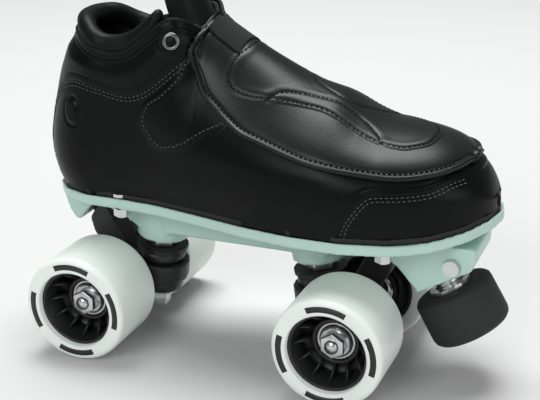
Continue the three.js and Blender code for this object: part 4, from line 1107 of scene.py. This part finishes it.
# %% Wheels
TYRE = [(22.4, -20.3), (23.0, -20.9), (28.3, -20.9), (29.4, -20.6), (30.3, -19.8), (30.8, -18.7), (31, -17.4), (31, 17.4), (30.8, 18.7), (30.3, 19.8), (29.4, 20.6), (28.3, 20.9), (23.0, 20.9), (22.4, 20.3)]
HUB = [(22.3, -20.4), (22.3, 17.4), (22.0, 17.7), (20.9, 17.7), (20.5, 17.3), (19.4, 3.0), (18.6, 1.4), (14.6, 0.6), (13.6, 1.2), (13.3, 4.0), (12.9, 4.3), (11.3, 4.3), (11.05, 3.9), (11.05, -4), (9.0, -4.2), (9.0, -13.2), (11.05, -13.4), (11.05, -20.0), (12.4, -20.4), (13.0, -16.5), (14.6, -15.4), (18.6, -15.4), (20.2, -17.0), (20.6, -20.4)]
RIBS = 12
BANDS = (90, 172, 270, 352)
for end in ("front", "rear"):
    for side, hand in (("left", 1), ("right", -1)):
        body_name = f"wheel_{end}_{side}"
        axis = Vector((0, hand, 0))
        centre = middle(f"tyre_{end}_{side}")
        bm = spun(bmesh.new(), mm(TYRE), centre, axis, 128)
        hidden_by(finish_mesh(f"tyre_moulding_{end}_{side}", bm, URETHANE), body_name, "wheel_urethane", f"tyre_{end}_{side}")
        bm = spun(bmesh.new(), mm(HUB), centre, axis, 96)
        for k in range(RIBS):
            rib = bmesh.ops.create_cube(bm, size=1)["verts"]
            for vertex in rib:
                far, up = vertex.co.x > 0, vertex.co.z > 0
                vertex.co = Vector((0.0206 if far else 0.0128, vertex.co.y * 0.0013, (0.0150 if far else 0.0036) if up else -0.001))
            bmesh.ops.transform(bm, matrix=Matrix.Translation(centre) @ turned(axis) @ Matrix.Rotation(2 * math.pi * k / RIBS, 4, "Z"), verts=rib)
        hidden_by(finish_mesh(f"hub_moulding_{end}_{side}", bm, HUB_NYLON), body_name, "hub_nylon", f"hub_{end}_{side}")
        for seat in ("outer", "inner"):
            place = middle(f"bearing_{seat}_{end}_{side}")
            bm = spun(bmesh.new(), mm([(4.05, -3.4), (4.05, 3.4), (5.5, 3.4), (5.7, 3.0), (9.1, 3.0), (9.3, 3.4), (10.8, 3.4), (10.95, 3.2), (10.95, -3.4)]), place, axis, 64)
            hidden_by(finish_mesh(f"bearing_{seat}_ring_{end}_{side}", bm, RACE_STEEL), body_name, "bearing_steel", f"bearing_{seat}_{end}_{side}")
        bm = bmesh.new()
        for band in BANDS:
            start = Matrix.Rotation(math.radians(band - 24), 4, "Y")
            ring = [bm.verts.new(centre + axis * a + start @ Vector((r, 0, 0))) for r, a in mm([(24.6, 20.80), (27.9, 20.80), (27.9, 20.97), (24.6, 20.97)])]
            face = bm.faces.new(ring)
            bmesh.ops.spin(bm, geom=[face, *face.edges, *face.verts], cent=centre, axis=(0, 1, 0), angle=math.radians(48), steps=28)
        bmesh.ops.holes_fill(bm, edges=[e for e in bm.edges if e.is_boundary])
        bands = finish_mesh(f"face_bands_{end}_{side}", bm, PRINT)
        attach(bands, body_name)
        nut_at, low, high, _ = extent(f"axle_nut_{end}_{side}", axis)
        bm = bmesh.new()
        hex_nut(bm, nut_at, axis, 0.0127, high - low)
        hidden_by(finish_mesh(f"axle_lock_nut_{end}_{side}", bm, STEEL), f"{end}_truck", "bright_steel", f"axle_nut_{end}_{side}")
    where, low, high, radius = extent(f"axle_{end}", (0, 1, 0))
    bm = bmesh.new()
    threaded(bm, where, (0, 1, 0), radius, low, low + 0.012, 0.0010, 0.0003)
    threaded(bm, where, (0, 1, 0), radius, high - 0.012, high, 0.0010, 0.0003)
    spun(bm, [(0, low + 0.0119), (radius, low + 0.0119), (radius, high - 0.0119), (0, high - 0.0119)], where, (0, 1, 0), 32)
    hidden_by(finish_mesh(f"axle_rod_{end}", bm, STEEL), f"{end}_truck", "bright_steel", f"axle_{end}")
print("wheels made")

# %% [markdown]
# ## Plate and trucks
#
# The plate is one nylon moulding and each hanger one casting, so no edge on them is sharp. Each takes
# its shape from the frame's own solid, remeshed finely and relaxed, which rounds every edge and fillet
# by about a millimetre, as a mould does.

# %% Plate and hangers
def moulded(source, name, material, voxel, repeats, body_name, slot):
    bm = bmesh.new()
    bm.from_mesh(nodes[source].data)
    made = finish_mesh(name, bm, material)
    remesh = made.modifiers.new("fine", "REMESH")
    remesh.mode, remesh.voxel_size, remesh.use_smooth_shade = "VOXEL", voxel, True
    relax = made.modifiers.new("relax", "SMOOTH")
    relax.factor, relax.iterations = 0.5, repeats
    hidden_by(made, body_name, slot, source)
    return made


moulded("plate", "plate_moulding", PLATE_NYLON, 0.0011, 6, "skate_base", "plate_nylon")
for end in ("front", "rear"):
    moulded(f"hanger_{end}", f"hanger_casting_{end}", POWDER, 0.0008, 6, f"{end}_truck", "hanger_metal")

# %% Kingpins, cushions, nuts and toe stop
LEAN = math.radians(7)
for end, way in (("front", -1), ("rear", 1)):
    axis = Vector((way * math.sin(LEAN), 0, math.cos(LEAN)))
    where, low, high, radius = extent(f"kingpin_{end}", axis)
    bm = bmesh.new()
    threaded(bm, where, axis, radius, low, high)
    hidden_by(finish_mesh(f"kingpin_rod_{end}", bm, STEEL), "skate_base", "bright_steel", f"kingpin_{end}")
    for seat, sign in (("top", 1), ("bottom", -1)):
        place, first, last, wide = extent(f"cushion_{seat}_{end}", axis)
        bm = bmesh.new()
        half = (last - first) / 2
        spun(bm, [(0.0054, -half), (wide * 0.90, -half), (wide * 0.97, -half * 0.8), (wide, -half * 0.3), (wide, half * 0.3), (wide * 0.97, half * 0.8), (wide * 0.90, half), (0.0054, half)], place, axis, 64)
        cushion = finish_mesh(f"cushion_{seat}_block_{end}", bm, CUSHION)
        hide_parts(f"cushion_{seat}_{end}")
        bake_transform(cushion)
    for nut, flats in (("kingpin_nut", 0.013), ("kingpin_jam_nut", 0.017)):
        place, first, last, _ = extent(f"{nut}_{end}", axis)
        bm = bmesh.new()
        hex_nut(bm, place, axis, flats, last - first)
        hidden_by(finish_mesh(f"{nut}_hex_{end}", bm, STEEL), "skate_base", "bright_steel", f"{nut}_{end}")
STOP_AXIS = Vector((0.5, 0, -math.sqrt(3) / 2))
where, low, high, radius = extent("toe_stop_stem", STOP_AXIS)
bm = bmesh.new()
threaded(bm, where, STOP_AXIS, radius - 0.0006, low + 0.0014, high, 0.0018, 0.0006)
hidden_by(finish_mesh("toe_stop_rod", bm, STEEL), "toe_stop", "bright_steel", "toe_stop_stem")
where, low, high, radius = extent("toe_stop_rubber", STOP_AXIS)
bm = bmesh.new()
R, L, H = radius, low, high
spun(bm, [(0.0085, L), (R - 0.0042, L), (R - 0.0018, L + 0.0006), (R - 0.0005, L + 0.002), (R - 0.0002, L + 0.004), (R, H - 0.0045), (R - 0.0006, H - 0.0022), (R - 0.0022, H - 0.0006), (R - 0.0045, H), (0.0085, H)], where, STOP_AXIS, 96)
hidden_by(finish_mesh("toe_stop_puck", bm, STOP_RUBBER), "toe_stop", "stop_rubber", "toe_stop_rubber")
print("trucks and toe stop made")
